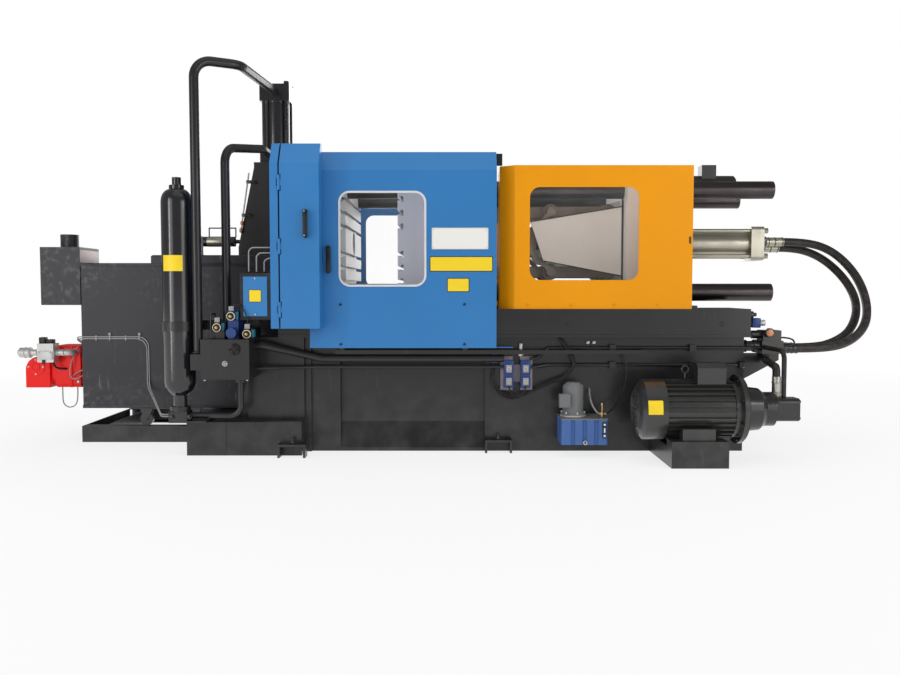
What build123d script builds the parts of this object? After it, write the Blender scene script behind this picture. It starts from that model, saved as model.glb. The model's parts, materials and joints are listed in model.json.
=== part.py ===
"""Hot-chamber die casting machine: base, furnace, injection, toggle clamp, guards and hydraulics.

Millimetres, +Z up. The origin lies on the floor under the clamp axis. +X runs from the furnace to the
clamp cylinder, and the operator stands at -Y.
"""
import os
from math import atan2, degrees, radians, tan

from build123d import *

# Overall layout
FIT = 0.3  # clearance at round fits
RUN = 6.0  # clearance between a moving piece and a fixed one
SHEET = 3.0  # guard sheet
PLATE = 12.0  # brackets and small plates

# Oil tank base
TANK_LEFT = -1010
TANK_LENGTH = 3060
TANK_HALF_DEPTH = 850
TANK_HEIGHT = 800
PANEL_LEFT = 244  # recessed centre panel, from the tank's left end
PANEL_LENGTH = 1010
PANEL_DEPTH = 40
PANEL_SILL = 24
PANEL_FOLD_HEIGHT = 205
POST_WIDTH = 44
POST_DEPTH = 22

# Bed beams on the tank
BEAM_HEIGHT = 196
BEAM_WIDTH = 490
BEAM_OVERHANG = 40  # in front of the tank
BEAM_LEFT_REACH = 180  # past the tank's left end
BEAM_RIGHT_REACH = 32
BEAM_LIP = 18
BEAM_LIP_DEPTH = 8

# Left plinth and columns
PLINTH_LENGTH = 783
PLINTH_HEIGHT = 237
PLINTH_OVERHANG = 175  # in front of the tank
COLUMN_WIDTH = 390
COLUMN_DEPTH = 300
COLUMN_OVERHANG = 50
GUSSET_WIDTH = 110
GUSSET_HEIGHT = 330
GUSSET_THICKNESS = 15

# Anchor feet
FOOT_WIDTH = 187
FOOT_REACH = 90
FOOT_HEIGHT = 90
FOOT_WALL = 15
FOOT_HOLE_RADIUS = 11
FOOT_LEFT_OFFSET = -56  # centre, from the tank's left end
FOOT_RIGHT_OFFSET = 1346

# Furnace
FURNACE_GAP = 12  # casing over the plinth
FURNACE_LEFT = -2733
FURNACE_LENGTH = 1533
FURNACE_HALF_DEPTH = 470
FURNACE_HEIGHT = 1077
FURNACE_EDGE = 8
TOP_PLATE_LENGTH = 1007
TOP_PLATE_HEIGHT = 59
TOP_PLATE_EDGE = 10
FLUE_WIDTH = 292
FLUE_DEPTH = 350
FLUE_HEIGHT = 428
FLUE_ABOVE = 118  # over the casing's top
FLUE_WALL = 4
STUB_RADIUS = 65
STUB_HEIGHT = 100

# Furnace wheels and floor rails
RAIL_HEIGHT = 120
RAIL_FLANGE = 75
RAIL_WEB = 8
RAIL_LEFT_INSET = 4  # from the furnace's left end
RAIL_FRONT = 505  # front face of the front rail, from the axis
CROSS_WIDTH = 170
WHEEL_WIDTH = 36
WHEEL_AXLE = 10
WHEEL_FORK = 5
WHEEL_PLATE = 6
WHEEL_FIRST = 472  # from the furnace's left end
WHEEL_PITCH = 361

# Burner and gas valve train
BURNER_Y = -100
BURNER_HEIGHT = 520  # axis above the floor
BURNER_TUBE_RADIUS = 75
BURNER_TUBE_LENGTH = 100
BURNER_FLANGE = 210
BURNER_FLANGE_THICKNESS = 18
BURNER_BODY_LENGTH = 190
BURNER_BODY_HEIGHT = 325
BURNER_BODY_DROP = 145  # under the axis
BURNER_BODY_DEPTH = 250
BURNER_NECK_LENGTH = 48
BURNER_NECK_HEIGHT = 210
BURNER_FAN_LENGTH = 185
BURNER_FAN_HEIGHT = 240
BURNER_FAN_CORNER = 105
BURNER_DISC_RADIUS = 68
BURNER_DISC_THICKNESS = 6
GAS_RISE = 130  # axis over the burner's axis
GAS_GAP = 8  # behind the block
GAS_REACH = 33  # block's right end past the burner's neck
GAS_BLOCK_DEPTH = 100
GAS_BLOCK_HEIGHT = 142
GAS_BLOCK_LENGTH = 124
GAS_CAP_RADIUS = 38
GAS_CAP_LENGTH = 165
GAS_PIPE_RADIUS = 24
GAS_PIPE_LENGTH = 120

# Injection unit
INJECTION_X = -1355
FRAME_GAP = 10  # frame base over the furnace top plate
FRAME_BASE_HEIGHT = 60
FRAME_HEIGHT = 665
FRAME_FOOT_LENGTH = 530
FRAME_HEAD_LENGTH = 280
FRAME_HALF_WIDTH = 220
FRAME_WALL = 30
FRAME_HEAD_THICKNESS = 40
PLUNGER_RADIUS = 40
CYLINDER_RADIUS = 95
CYLINDER_LENGTH = 391
CYLINDER_HEAD = 230
CYLINDER_HEAD_HEIGHT = 95
CYLINDER_CAP = 230
CYLINDER_CAP_HEIGHT = 130
CYLINDER_ROD_RADIUS = 13
CYLINDER_ROD_PITCH = 176
CYLINDER_NUT_RADIUS = 20
CYLINDER_NUT_HEIGHT = 22
SETTING_RADIUS = 38  # small horizontal setting cylinder beside the frame
SETTING_LENGTH = 236
SETTING_ROD_RADIUS = 15
SETTING_ROD_LENGTH = 34
SETTING_RISE = 113  # over the furnace top plate
SETTING_POST = 36
SETTING_POST_WIDTH = 70

# Accumulator
BOTTLE_RADIUS = 105
BOTTLE_SETBACK = 25  # axis in front of the plinth's front face
BOTTLE_OFFSET = -31  # axis from the plinth's left end
BOTTLE_LENGTH = 1360
BOTTLE_NECK_RADIUS = 45
BOTTLE_NECK_LENGTH = 75
BOTTLE_SHOULDER = 110
BOTTLE_DOME = 95
BOTTLE_RING_RADIUS = 50
BOTTLE_RING_HEIGHT = 26
BOTTLE_TIP_RADIUS = 30
BOTTLE_TIP_HEIGHT = 52
BASE_SHELF = 12
BASE_BLOCK = 124
BASE_BLOCK_HEIGHT = 64
BASE_FLANGE_RADIUS = 66
BASE_FLANGE_HEIGHT = 30
CLAMP_HEIGHT = 66
CLAMP_RISE = 510  # band's lower edge above the bottle's foot
CLAMP_WALL = 8
CLAMP_ARM = 20
FEED_RADIUS = 21
FEED_BEND = 70

# Manifold block and valves
MANIFOLD_LENGTH = 321
MANIFOLD_DEPTH = 298
MANIFOLD_HEIGHT = 265
MANIFOLD_BOTTOM = 537
MANIFOLD_OVERLAP = 80  # in front of the column
FEED_INSET = 94  # feed pipe from the block's right end
SIDE_BLOCK_HEIGHT = 105
SIDE_BLOCK_DEPTH = 150
SIDE_BLOCK_RISE = 62
VALVE_WIDTH = 70
VALVE_DEPTH = 190
VALVE_HEIGHT = 96
VALVE_OFFSETS = (-62, 32, 136)  # left, cast and right valve from the block's middle
VALVE_RISES = (112, 187, 69)  # their tops over the block
CAST_NOSE_RADIUS = 34
COIL_RADIUS = 29
COIL_LENGTH = 62
PLUG_SIDE = 34
MAIN_PIPE_RADIUS = 31.5
MAIN_PIPE_BEND = 115
RETURN_PIPE_RADIUS = 30

# Junction box
BOX_WIDTH = 207
BOX_HEIGHT = 311
BOX_DEPTH = 96
BOX_BOTTOM = 929
BOX_DOOR_MARGIN = 24
BOX_DOOR_THICKNESS = 4

# Platens and tie bars
BAR_RADIUS = 65
BAR_PITCH = 760
BAR_RIGHT = 2400
BAR_NUT_RADIUS = 105
BAR_NUT_LENGTH = 95
BAR_TAIL = 20
PLATEN_SIDE = 155  # platen's edge past the tie bar centres, across
PLATEN_RIM = 100  # and above and below them
PLATEN_SEAT = 14  # room over the bed that the shoes fill
PLATEN_EDGE = 20
PLATEN_HALF_WIDTH = BAR_PITCH / 2 + PLATEN_SIDE
PLATEN_HALF_HEIGHT = BAR_PITCH / 2 + PLATEN_RIM
AXIS_HEIGHT = TANK_HEIGHT + BEAM_HEIGHT + PLATEN_SEAT + PLATEN_HALF_HEIGHT  # clamp axis above the floor
SHOE_WIDTH = 125
FIXED_FACE = -760
FIXED_THICKNESS = 200
DIE_GAP = 378
MOVING_THICKNESS = 230
REAR_FACE = 1290
REAR_THICKNESS = 260
SPRUE_RADIUS = 90
SLOT_PITCH = 100
SLOT_NECK = 25
SLOT_HEAD = 44
SLOT_DEPTH = 42
SLOT_HEAD_DEPTH = 18
GEAR_COVER_THICKNESS = 95
GEAR_COVER_RIM = 100  # past the tie bar centres
GEAR_COVER_HALF = BAR_PITCH / 2 + GEAR_COVER_RIM
GUARD_HEADROOM = 13  # over the platens
GUARD_TOP = AXIS_HEIGHT + PLATEN_HALF_HEIGHT + GUARD_HEADROOM

# Side cover beside the door
COVER_FRONT = 1110  # front face, from the axis
COVER_STRIP = 54
COVER_LEAF = 272
COVER_BOTTOM = 870
COVER_RISE = 123  # over the toggle guard
COVER_SLOPE_DROP = 143
COVER_TOP = GUARD_TOP + COVER_RISE
COVER_CREASE = COVER_TOP - COVER_SLOPE_DROP
COVER_SLOPE_DEPTH = 90
COVER_WALL_DEPTH = 330
HINGE_RADIUS = 10
HINGE_PIN_RADIUS = 5
HINGE_LENGTH = 40
HINGE_LUG = 30
HINGE_PITCH = 420
HINGE_SEAM = 5  # half of the gap between strip and leaf
HANDLE_LENGTH = 165
HANDLE_RADIUS = 12
HANDLE_REACH = 36

# Sliding front door
DOOR_LEFT = -959
DOOR_LENGTH = 1277
DOOR_FRONT = 955
DOOR_BOTTOM = 730
DOOR_RISE = 91  # over the toggle guard
DOOR_SLOPE_DROP = 135
DOOR_TOP = GUARD_TOP + DOOR_RISE
DOOR_CREASE = DOOR_TOP - DOOR_SLOPE_DROP
DOOR_SLOPE_DEPTH = 90
DOOR_RETURN = 48
DOOR_HOOK_DEPTH = 40
DOOR_HOOK_DROP = 38
DOOR_HEM = 18
DOOR_WINDOW_LEFT = 207  # from the door's left edge
DOOR_WINDOW_WIDTH = 584
DOOR_WINDOW_BOTTOM = 427  # from the door's lower edge
DOOR_WINDOW_HEAD = 147  # under the crease
DOOR_WINDOW_HEIGHT = DOOR_CREASE - DOOR_BOTTOM - DOOR_WINDOW_BOTTOM - DOOR_WINDOW_HEAD
WINDOW_CORNER = 70
GLASS = 6
GLASS_LAP = 22
ROLLER_RADIUS = 24
ROLLER_WIDTH = 20
ROLLER_SETBACK = 30  # roller's middle plane behind the door's front
ROLLER_RISE = 8  # axle over the door's lower edge
ROLLER_INSET = 215  # from each end of the door
ROLLER_AXLE = 6
RAIL_THICKNESS = 12
DOOR_RAIL_HEIGHT = 28
DOOR_TRAVEL = 1200
DOOR_BRACKET_PITCH = 560
DOOR_HANDLE_LEFT = 130
DOOR_HANDLE_BOTTOM = 522

# Yellow toggle guard
GUARD_LEFT = 346
GUARD_LENGTH = 1328
GUARD_FRONT = 880
GUARD_CHAMFER = 101
GUARD_CHAMFER_DEPTH = 75
GUARD_DEPTH = 250
GUARD_WINDOW_LEFT = 204  # from the guard's left end
GUARD_WINDOW_WIDTH = 751
GUARD_WINDOW_BOTTOM = 200  # over the bed
GUARD_WINDOW_HEAD = 149  # under the guard's top
GUARD_WINDOW_RIM = GUARD_WINDOW_BOTTOM + GUARD_WINDOW_HEAD
GUARD_WINDOW_HEIGHT = GUARD_TOP - TANK_HEIGHT - BEAM_HEIGHT - GUARD_WINDOW_RIM

# Toggle mechanism
KNEE_X = 762
KNEE_DROP = 155  # knee pins inside the tie bar centres
KNEE_RISE = BAR_PITCH / 2 - KNEE_DROP
LINK_RADIUS = 62
LINK_NECK = 84
LINK_THICKNESS = 90
LINK_INSET = 175  # middle plane of each link set, inside the tie bar centres
LINK_Y = BAR_PITCH / 2 - LINK_INSET
REAR_LEAF = 34
PIN_RADIUS = 32
LUG_REACH = 95
CROSSHEAD_X = 600
CROSSHEAD_WIDTH = 100
CROSSHEAD_HEIGHT = 220
CROSSHEAD_PIN_RISE = 62
DRIVE_LINK_STEP = 120  # outside the link set
DRIVE_LINK_Y = LINK_Y + DRIVE_LINK_STEP
DRIVE_LINK_THICKNESS = 30
DRIVE_LINK_RADIUS = 34
DRIVE_PIN_RADIUS = 16
CHEEK_STEP = 60  # outside the drive links
CHEEK_Y = DRIVE_LINK_Y + CHEEK_STEP
CHEEK_THICKNESS = 36
CHEEK_LENGTH = 690
CHEEK_GAP = 115  # both gaps between the root and the tie bars
CHEEK_ROOT = BAR_PITCH - 2 * BAR_RADIUS - CHEEK_GAP
CHEEK_TIP = 290

# Clamp cylinder
CLAMP_RADIUS = 100
CLAMP_LENGTH = 681
CLAMP_HEAD = 290
CLAMP_HEAD_LENGTH = 110
CLAMP_CAP = 262
CLAMP_CAP_LENGTH = 100
CLAMP_CAP_CORNER = 30
CLAMP_FERRULE_LENGTH = 170
CLAMP_ROD_RADIUS = 45
CLAMP_TIE_RADIUS = 15
CLAMP_TIE_PITCH = 196
CLAMP_NUT_RADIUS = 24
CLAMP_NUT_LENGTH = 34
HEIGHT_MOTOR_RADIUS = 70
HEIGHT_MOTOR_LENGTH = 545
HEIGHT_MOTOR_DROP = 35  # axis under the gear cover's top
HEIGHT_MOTOR_RISE = GEAR_COVER_HALF - HEIGHT_MOTOR_DROP
HEIGHT_MOTOR_Y = -150
HEIGHT_BOX = 110
HEIGHT_BOX_HEIGHT = 76
HEIGHT_BOX_START = 280

# Pump set
MOTOR_Y = -1200
MOTOR_AXIS = 345
MOTOR_LEFT = 1220
COWL_RADIUS = 198
COWL_LENGTH = 175
COWL_NOSE = 40  # length of its rounded left end
STATOR_RADIUS = 176
STATOR_LENGTH = 438
FIN_HEIGHT = 20
FIN_THICKNESS = 7
FIN_COUNT = 30
BELL_END_LENGTH = 40
BELL_END_RADIUS = 185
FLANGE_RADIUS = 225
FLANGE_THICKNESS = 28
TERMINAL_LENGTH = 185
TERMINAL_SETBACK = 44  # from the stator's right end
TERMINAL_CHAMFER = 30
TERMINAL_WIDTH = 180
TERMINAL_HEIGHT = 110
MOTOR_FOOT_LENGTH = 210
MOTOR_FOOT_WIDTH = 90
MOTOR_FOOT_PITCH = 356
MOTOR_FOOT_THICKNESS = 74
LANTERN_LENGTH = 220
LANTERN_RADIUS = 150
LANTERN_NOSE_RADIUS = 112
PUMP_LENGTH = 158
PUMP_SIDE = 150
MOTOR_BASE_LEFT = 180  # from the fan cowl's left end
MOTOR_BASE_LENGTH = 363
MOTOR_BASE_FRONT = 1455
MOTOR_BASE_HEIGHT = 170

# Lubrication unit
LUBE_LEFT = 747
LUBE_LENGTH = 314
LUBE_DEPTH = 250
LUBE_HEIGHT = 168
LUBE_BOTTOM = 88
LUBE_LID = 8
LUBE_FLUTE = 14
LUBE_MOTOR_RADIUS = 70
LUBE_MOTOR_HEIGHT = 190
LUBE_FLANGE_RADIUS = 85
LUBE_FLANGE_HEIGHT = 20
LUBE_BRACKET = 10

# Valve pair on the tank front
PAIR_LEFT = 351
PAIR_WIDTH = 222
PAIR_BOTTOM = 431
PAIR_HEIGHT = 236
PAIR_PLATE = 24
PAIR_VALVE_WIDTH = 62
PAIR_VALVE_DEPTH = 66
PAIR_PITCH = 116

# End manifold at the right of the tank
END_BRACKET_REACH = 277
END_BRACKET_HEIGHT = 200
END_BRACKET_THICKNESS = 20
END_BLOCK_LENGTH = 150
END_BLOCK_DEPTH = 190
END_BLOCK_HEIGHT = 91

# Pipes along the base and hoses
SUPPLY_RADIUS = 25
PRESSURE_RADIUS = 16
SERVICE_RADIUS = 11
PIPE_CLAMP = 44
HOSE_RADIUS = 31
FERRULE_LENGTH = 114
FERRULE_RADIUS = 35
OUTER_PORT = (-55, 14)  # Y and Z from the clamp axis
INNER_PORT = (40, -29)
OUTER_END = (50, 36)  # Y and Z from the end block's front lower edge
INNER_END = (138, 36)
OUTER_FALL = [(190, 0, 0), (365, -60, -70), (485, -170, -232), (518, -295, -412)]  # from the upper end
OUTER_REACH = [(648, 320, 205), (530, 190, 90), (350, 70, 18), (159, 0, 0)]  # from the lower end
INNER_FALL = [(150, 0, 0), (325, -40, -71), (455, -130, -216), (510, -240, -376)]
INNER_REACH = [(643, 392, 224), (510, 222, 99), (339, 97, 29), (159, 0, 0)]
LOOP_STEPS = [  # X and Z under the burner body, from the furnace's end
    (-288, 0, 0),
    (-288, 0, -58),
    (-287, 0, -125),
    (-261, 0, -156),
    (-222, 0, -163),
    (-187, 0, -143),
    (-174, 0, -105),
    (-170, 0, -51),
    (-170, 0, 0),
]
CABLE_RADIUS = 4.5
CABLE_BEND = 40
CABLE_RUN_DROP = 545  # under the furnace's top plate
CABLE_RUN_LENGTH = 500

# Derived positions
tank_right = TANK_LEFT + TANK_LENGTH
beam_left = TANK_LEFT - BEAM_LEFT_REACH
beam_right = tank_right + BEAM_RIGHT_REACH
beam_front = TANK_HALF_DEPTH + BEAM_OVERHANG
beam_inner = beam_front - BEAM_WIDTH
bed_top = TANK_HEIGHT + BEAM_HEIGHT
plinth_left = TANK_LEFT - PLINTH_LENGTH
plinth_front = TANK_HALF_DEPTH + PLINTH_OVERHANG
column_left = TANK_LEFT - COLUMN_WIDTH
column_front = TANK_HALF_DEPTH + COLUMN_OVERHANG
furnace_bottom = PLINTH_HEIGHT + FURNACE_GAP
furnace_right = FURNACE_LEFT + FURNACE_LENGTH
furnace_top = furnace_bottom + FURNACE_HEIGHT
top_plate_left = furnace_right - TOP_PLATE_LENGTH
plate_top = furnace_top + TOP_PLATE_HEIGHT


def block(x_range, y_range, z_range, mode=Mode.ADD):
    """Add a rectangular block between pairs of limits to the part being built."""
    sizes = [high - low for low, high in (x_range, y_range, z_range)]
    with Locations(tuple(sum(limits) / 2 for limits in (x_range, y_range, z_range))):
        Box(*sizes, mode=mode)


def prism(plane, points, amount, mode=Mode.ADD):
    """Extrude a closed outline drawn on a plane."""
    with BuildSketch(plane) as outline:
        with BuildLine():
            Polyline(*points, close=True)
        make_face()
    extrude(outline.sketch, amount=amount, mode=mode)


def folded_sheet(plane, points, amount):
    """Extrude a folded sheet whose outer line is given, with its thickness to the line's right."""
    with BuildSketch(plane) as section:
        with BuildLine() as outer:
            Polyline(*points)
            offset(outer.line, amount=SHEET, side=Side.RIGHT, closed=True)
        make_face()
    extrude(section.sketch, amount=amount)


def rod(start, end, radius, mode=Mode.ADD):
    """Add a round bar from one point to another."""
    run = Vector(*end) - Vector(*start)
    with BuildSketch(Plane(origin=start, z_dir=run)) as section:
        Circle(radius)
    extrude(section.sketch, amount=run.length, mode=mode)


def turned(origin, direction, points, mode=Mode.ADD):
    """Turn an outline of (distance along, radius) points about an axis."""
    side = Vector(0, 1, 0) if abs(Vector(*direction).Y) < 0.5 else Vector(1, 0, 0)
    with BuildSketch(Plane(origin=origin, x_dir=direction, z_dir=side)) as outline:
        with BuildLine():
            Polyline(*points, close=True)
        make_face()
    revolve(outline.sketch, axis=Axis(origin, direction), mode=mode)


def pipe(points, radius, bends):
    """Sweep a round pipe along straight runs joined by bends."""
    with BuildLine(mode=Mode.PRIVATE) as route:
        FilletPolyline(*points, radius=bends)
    with BuildSketch(Plane(origin=route.line @ 0, z_dir=route.line % 0)) as section:
        Circle(radius)
    sweep(section.sketch, path=route.line)


def front_plane(front):
    """Give the upright plane at a distance in front of the axis, drawn as X and Z."""
    return Plane.XZ.offset(front)


def finish(builder, label):
    """Label a finished piece and write it."""
    builder.part.label = label
    export_step(builder.part, f"parts/{label}.step")


os.makedirs("parts", exist_ok=True)

# Oil tank base with its recessed panels
with BuildPart() as bed_frame:
    block((TANK_LEFT, tank_right), (-TANK_HALF_DEPTH, TANK_HALF_DEPTH), (0, TANK_HEIGHT))
    panel_left = TANK_LEFT + PANEL_LEFT
    panel_back = TANK_HALF_DEPTH - PANEL_DEPTH
    for side in (-1, 1):
        with BuildSketch(Plane.YZ.offset(panel_left)):
            with BuildLine():
                Polyline(
                    (side * TANK_HALF_DEPTH, PANEL_SILL),
                    (side * panel_back, PANEL_FOLD_HEIGHT),
                    (side * panel_back, TANK_HEIGHT),
                    (side * TANK_HALF_DEPTH, TANK_HEIGHT),
                    close=True,
                )
            make_face()
        extrude(amount=PANEL_LENGTH, mode=Mode.SUBTRACT)
        post_back = side * (TANK_HALF_DEPTH - PANEL_DEPTH)
        post_limits = sorted((post_back, side * (TANK_HALF_DEPTH + POST_DEPTH)))
        block((TANK_LEFT, TANK_LEFT + POST_WIDTH), post_limits, (0, TANK_HEIGHT))
finish(bed_frame, "bed_frame")

# Bed beams that carry the platens and guards
with BuildPart() as bed_beams:
    for side in (-1, 1):
        with BuildSketch(Plane.YZ.offset(beam_left)):
            with BuildLine():
                Polyline(
                    (side * beam_inner, TANK_HEIGHT),
                    (side * (beam_front + BEAM_LIP_DEPTH), TANK_HEIGHT),
                    (side * (beam_front + BEAM_LIP_DEPTH), TANK_HEIGHT + BEAM_LIP),
                    (side * beam_front, TANK_HEIGHT + BEAM_LIP),
                    (side * beam_front, bed_top),
                    (side * beam_inner, bed_top),
                    close=True,
                )
            make_face()
        extrude(amount=beam_right - beam_left)
finish(bed_beams, "bed_beams")

# Low plinth under the injection end, with the columns that carry the beams and their gussets
column_back = column_front - COLUMN_DEPTH
with BuildPart() as left_plinth:
    block((plinth_left, TANK_LEFT), (-plinth_front, plinth_front), (0, PLINTH_HEIGHT))
    chamfer(left_plinth.edges().filter_by(Axis.X).group_by(Axis.Z)[-1], length=FOOT_WALL / 2)
    for side in (-1, 1):
        column_limits = sorted((side * column_front, side * column_back))
        block((column_left, TANK_LEFT), column_limits, (PLINTH_HEIGHT, TANK_HEIGHT))
        gusset_y = side * (column_front - COLUMN_DEPTH / 3)
        prism(
            Plane.XZ.offset(-gusset_y - GUSSET_THICKNESS / 2),
            [
                (column_left, PLINTH_HEIGHT),
                (column_left - GUSSET_WIDTH, PLINTH_HEIGHT),
                (column_left, PLINTH_HEIGHT + GUSSET_HEIGHT),
            ],
            GUSSET_THICKNESS,
        )
finish(left_plinth, "left_plinth")

# Anchor feet: channel pieces with a bolt hole
with BuildPart() as anchor_feet:
    for side in (-1, 1):
        for offset_x, wall in ((FOOT_LEFT_OFFSET, plinth_front), (FOOT_RIGHT_OFFSET, TANK_HALF_DEPTH)):
            foot_x = TANK_LEFT + offset_x
            foot_limits = sorted((side * wall, side * (wall + FOOT_REACH)))
            foot_range = (foot_x - FOOT_WIDTH / 2, foot_x + FOOT_WIDTH / 2)
            block(foot_range, foot_limits, (0, FOOT_HEIGHT))
            inner_range = (foot_range[0] + FOOT_WALL, foot_range[1] - FOOT_WALL)
            block(inner_range, foot_limits, (0, FOOT_HEIGHT - FOOT_WALL), mode=Mode.SUBTRACT)
            bolt_y = side * (wall + FOOT_REACH / 2)
            rod((foot_x, bolt_y, 0), (foot_x, bolt_y, FOOT_HEIGHT), FOOT_HOLE_RADIUS, mode=Mode.SUBTRACT)
finish(anchor_feet, "anchor_feet")

# Furnace casing, carried on wheels over the floor rails
furnace_y = (-FURNACE_HALF_DEPTH, FURNACE_HALF_DEPTH)
with BuildPart() as furnace_casing:
    block((FURNACE_LEFT, furnace_right), furnace_y, (furnace_bottom, furnace_top))
    chamfer(furnace_casing.edges().filter_by(Axis.Z), length=FURNACE_EDGE)
finish(furnace_casing, "furnace_casing")

with BuildPart() as furnace_top_plate:
    block((top_plate_left, furnace_right), furnace_y, (furnace_top, plate_top))
    chamfer(furnace_top_plate.faces().sort_by(Axis.Z)[-1].edges(), length=TOP_PLATE_EDGE)
    rod(
        (INJECTION_X, 0, furnace_top),
        (INJECTION_X, 0, plate_top),
        PLUNGER_RADIUS + FIT,
        mode=Mode.SUBTRACT,
    )
finish(furnace_top_plate, "furnace_top_plate")

# Flue box with its stub, open through the stub
flue_top = furnace_top + FLUE_ABOVE
flue_x = (FURNACE_LEFT - FLUE_WIDTH, FURNACE_LEFT)
flue_y = (-FURNACE_HALF_DEPTH, -FURNACE_HALF_DEPTH + FLUE_DEPTH)
stub_x = sum(flue_x) / 2
stub_y = sum(flue_y) / 2
with BuildPart() as flue_box:
    block(flue_x, flue_y, (flue_top - FLUE_HEIGHT, flue_top))
    rod((stub_x, stub_y, flue_top), (stub_x, stub_y, flue_top + STUB_HEIGHT), STUB_RADIUS)
    rod(
        (stub_x, stub_y, flue_top),
        (stub_x, stub_y, flue_top + STUB_HEIGHT),
        STUB_RADIUS - FLUE_WALL,
        mode=Mode.SUBTRACT,
    )
finish(flue_box, "flue_box")

# Floor rails: a welded frame of channels, the cross member lying on its back
rail_left = FURNACE_LEFT + RAIL_LEFT_INSET
rail_inner = RAIL_FRONT - RAIL_FLANGE
with BuildPart() as floor_rails:
    for side in (-1, 1):
        with BuildSketch(Plane.YZ.offset(rail_left)):
            with BuildLine():
                Polyline(
                    (side * RAIL_FRONT, 0),
                    (side * RAIL_FRONT, RAIL_HEIGHT),
                    (side * rail_inner, RAIL_HEIGHT),
                    (side * rail_inner, RAIL_HEIGHT - RAIL_WEB),
                    (side * (RAIL_FRONT - RAIL_WEB), RAIL_HEIGHT - RAIL_WEB),
                    (side * (RAIL_FRONT - RAIL_WEB), RAIL_WEB),
                    (side * rail_inner, RAIL_WEB),
                    (side * rail_inner, 0),
                    close=True,
                )
            make_face()
        extrude(amount=plinth_left - rail_left)
    cross_right = rail_left + CROSS_WIDTH
    prism(
        Plane.XZ.offset(rail_inner),
        [
            (rail_left, 0),
            (cross_right, 0),
            (cross_right, RAIL_HEIGHT),
            (cross_right - RAIL_WEB, RAIL_HEIGHT),
            (cross_right - RAIL_WEB, RAIL_WEB),
            (rail_left + RAIL_WEB, RAIL_WEB),
            (rail_left + RAIL_WEB, RAIL_HEIGHT),
            (rail_left, RAIL_HEIGHT),
        ],
        -2 * rail_inner,
    )
finish(floor_rails, "floor_rails")

# Furnace wheels in their forks
wheel_radius = (furnace_bottom - RAIL_HEIGHT) * 0.37
wheel_z = RAIL_HEIGHT + wheel_radius
wheel_y = rail_inner + WHEEL_FORK + 2 * FIT + WHEEL_WIDTH / 2
fork_half = WHEEL_WIDTH / 2 + FIT + WHEEL_FORK
with BuildPart() as furnace_wheels:
    for side in (-1, 1):
        for index in range(2):
            wheel_x = FURNACE_LEFT + WHEEL_FIRST + index * WHEEL_PITCH
            center_y = side * wheel_y
            rod(
                (wheel_x, center_y - WHEEL_WIDTH / 2, wheel_z),
                (wheel_x, center_y + WHEEL_WIDTH / 2, wheel_z),
                wheel_radius,
            )
            rod(
                (wheel_x, center_y - fork_half - WHEEL_FORK, wheel_z),
                (wheel_x, center_y + fork_half + WHEEL_FORK, wheel_z),
                WHEEL_AXLE,
            )
            for cheek in (-1, 1):
                cheek_y = center_y + cheek * (fork_half - WHEEL_FORK)
                prism(
                    Plane.XZ.offset(-cheek_y if cheek < 0 else -cheek_y - WHEEL_FORK),
                    [
                        (wheel_x - WHEEL_AXLE, wheel_z - WHEEL_AXLE),
                        (wheel_x + WHEEL_AXLE, wheel_z - WHEEL_AXLE),
                        (wheel_x + wheel_radius, furnace_bottom),
                        (wheel_x - wheel_radius, furnace_bottom),
                    ],
                    WHEEL_FORK,
                )
            block(
                (wheel_x - wheel_radius, wheel_x + wheel_radius),
                (center_y - fork_half, center_y + fork_half),
                (furnace_bottom - WHEEL_PLATE, furnace_bottom),
            )
finish(furnace_wheels, "furnace_wheels")

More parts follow.
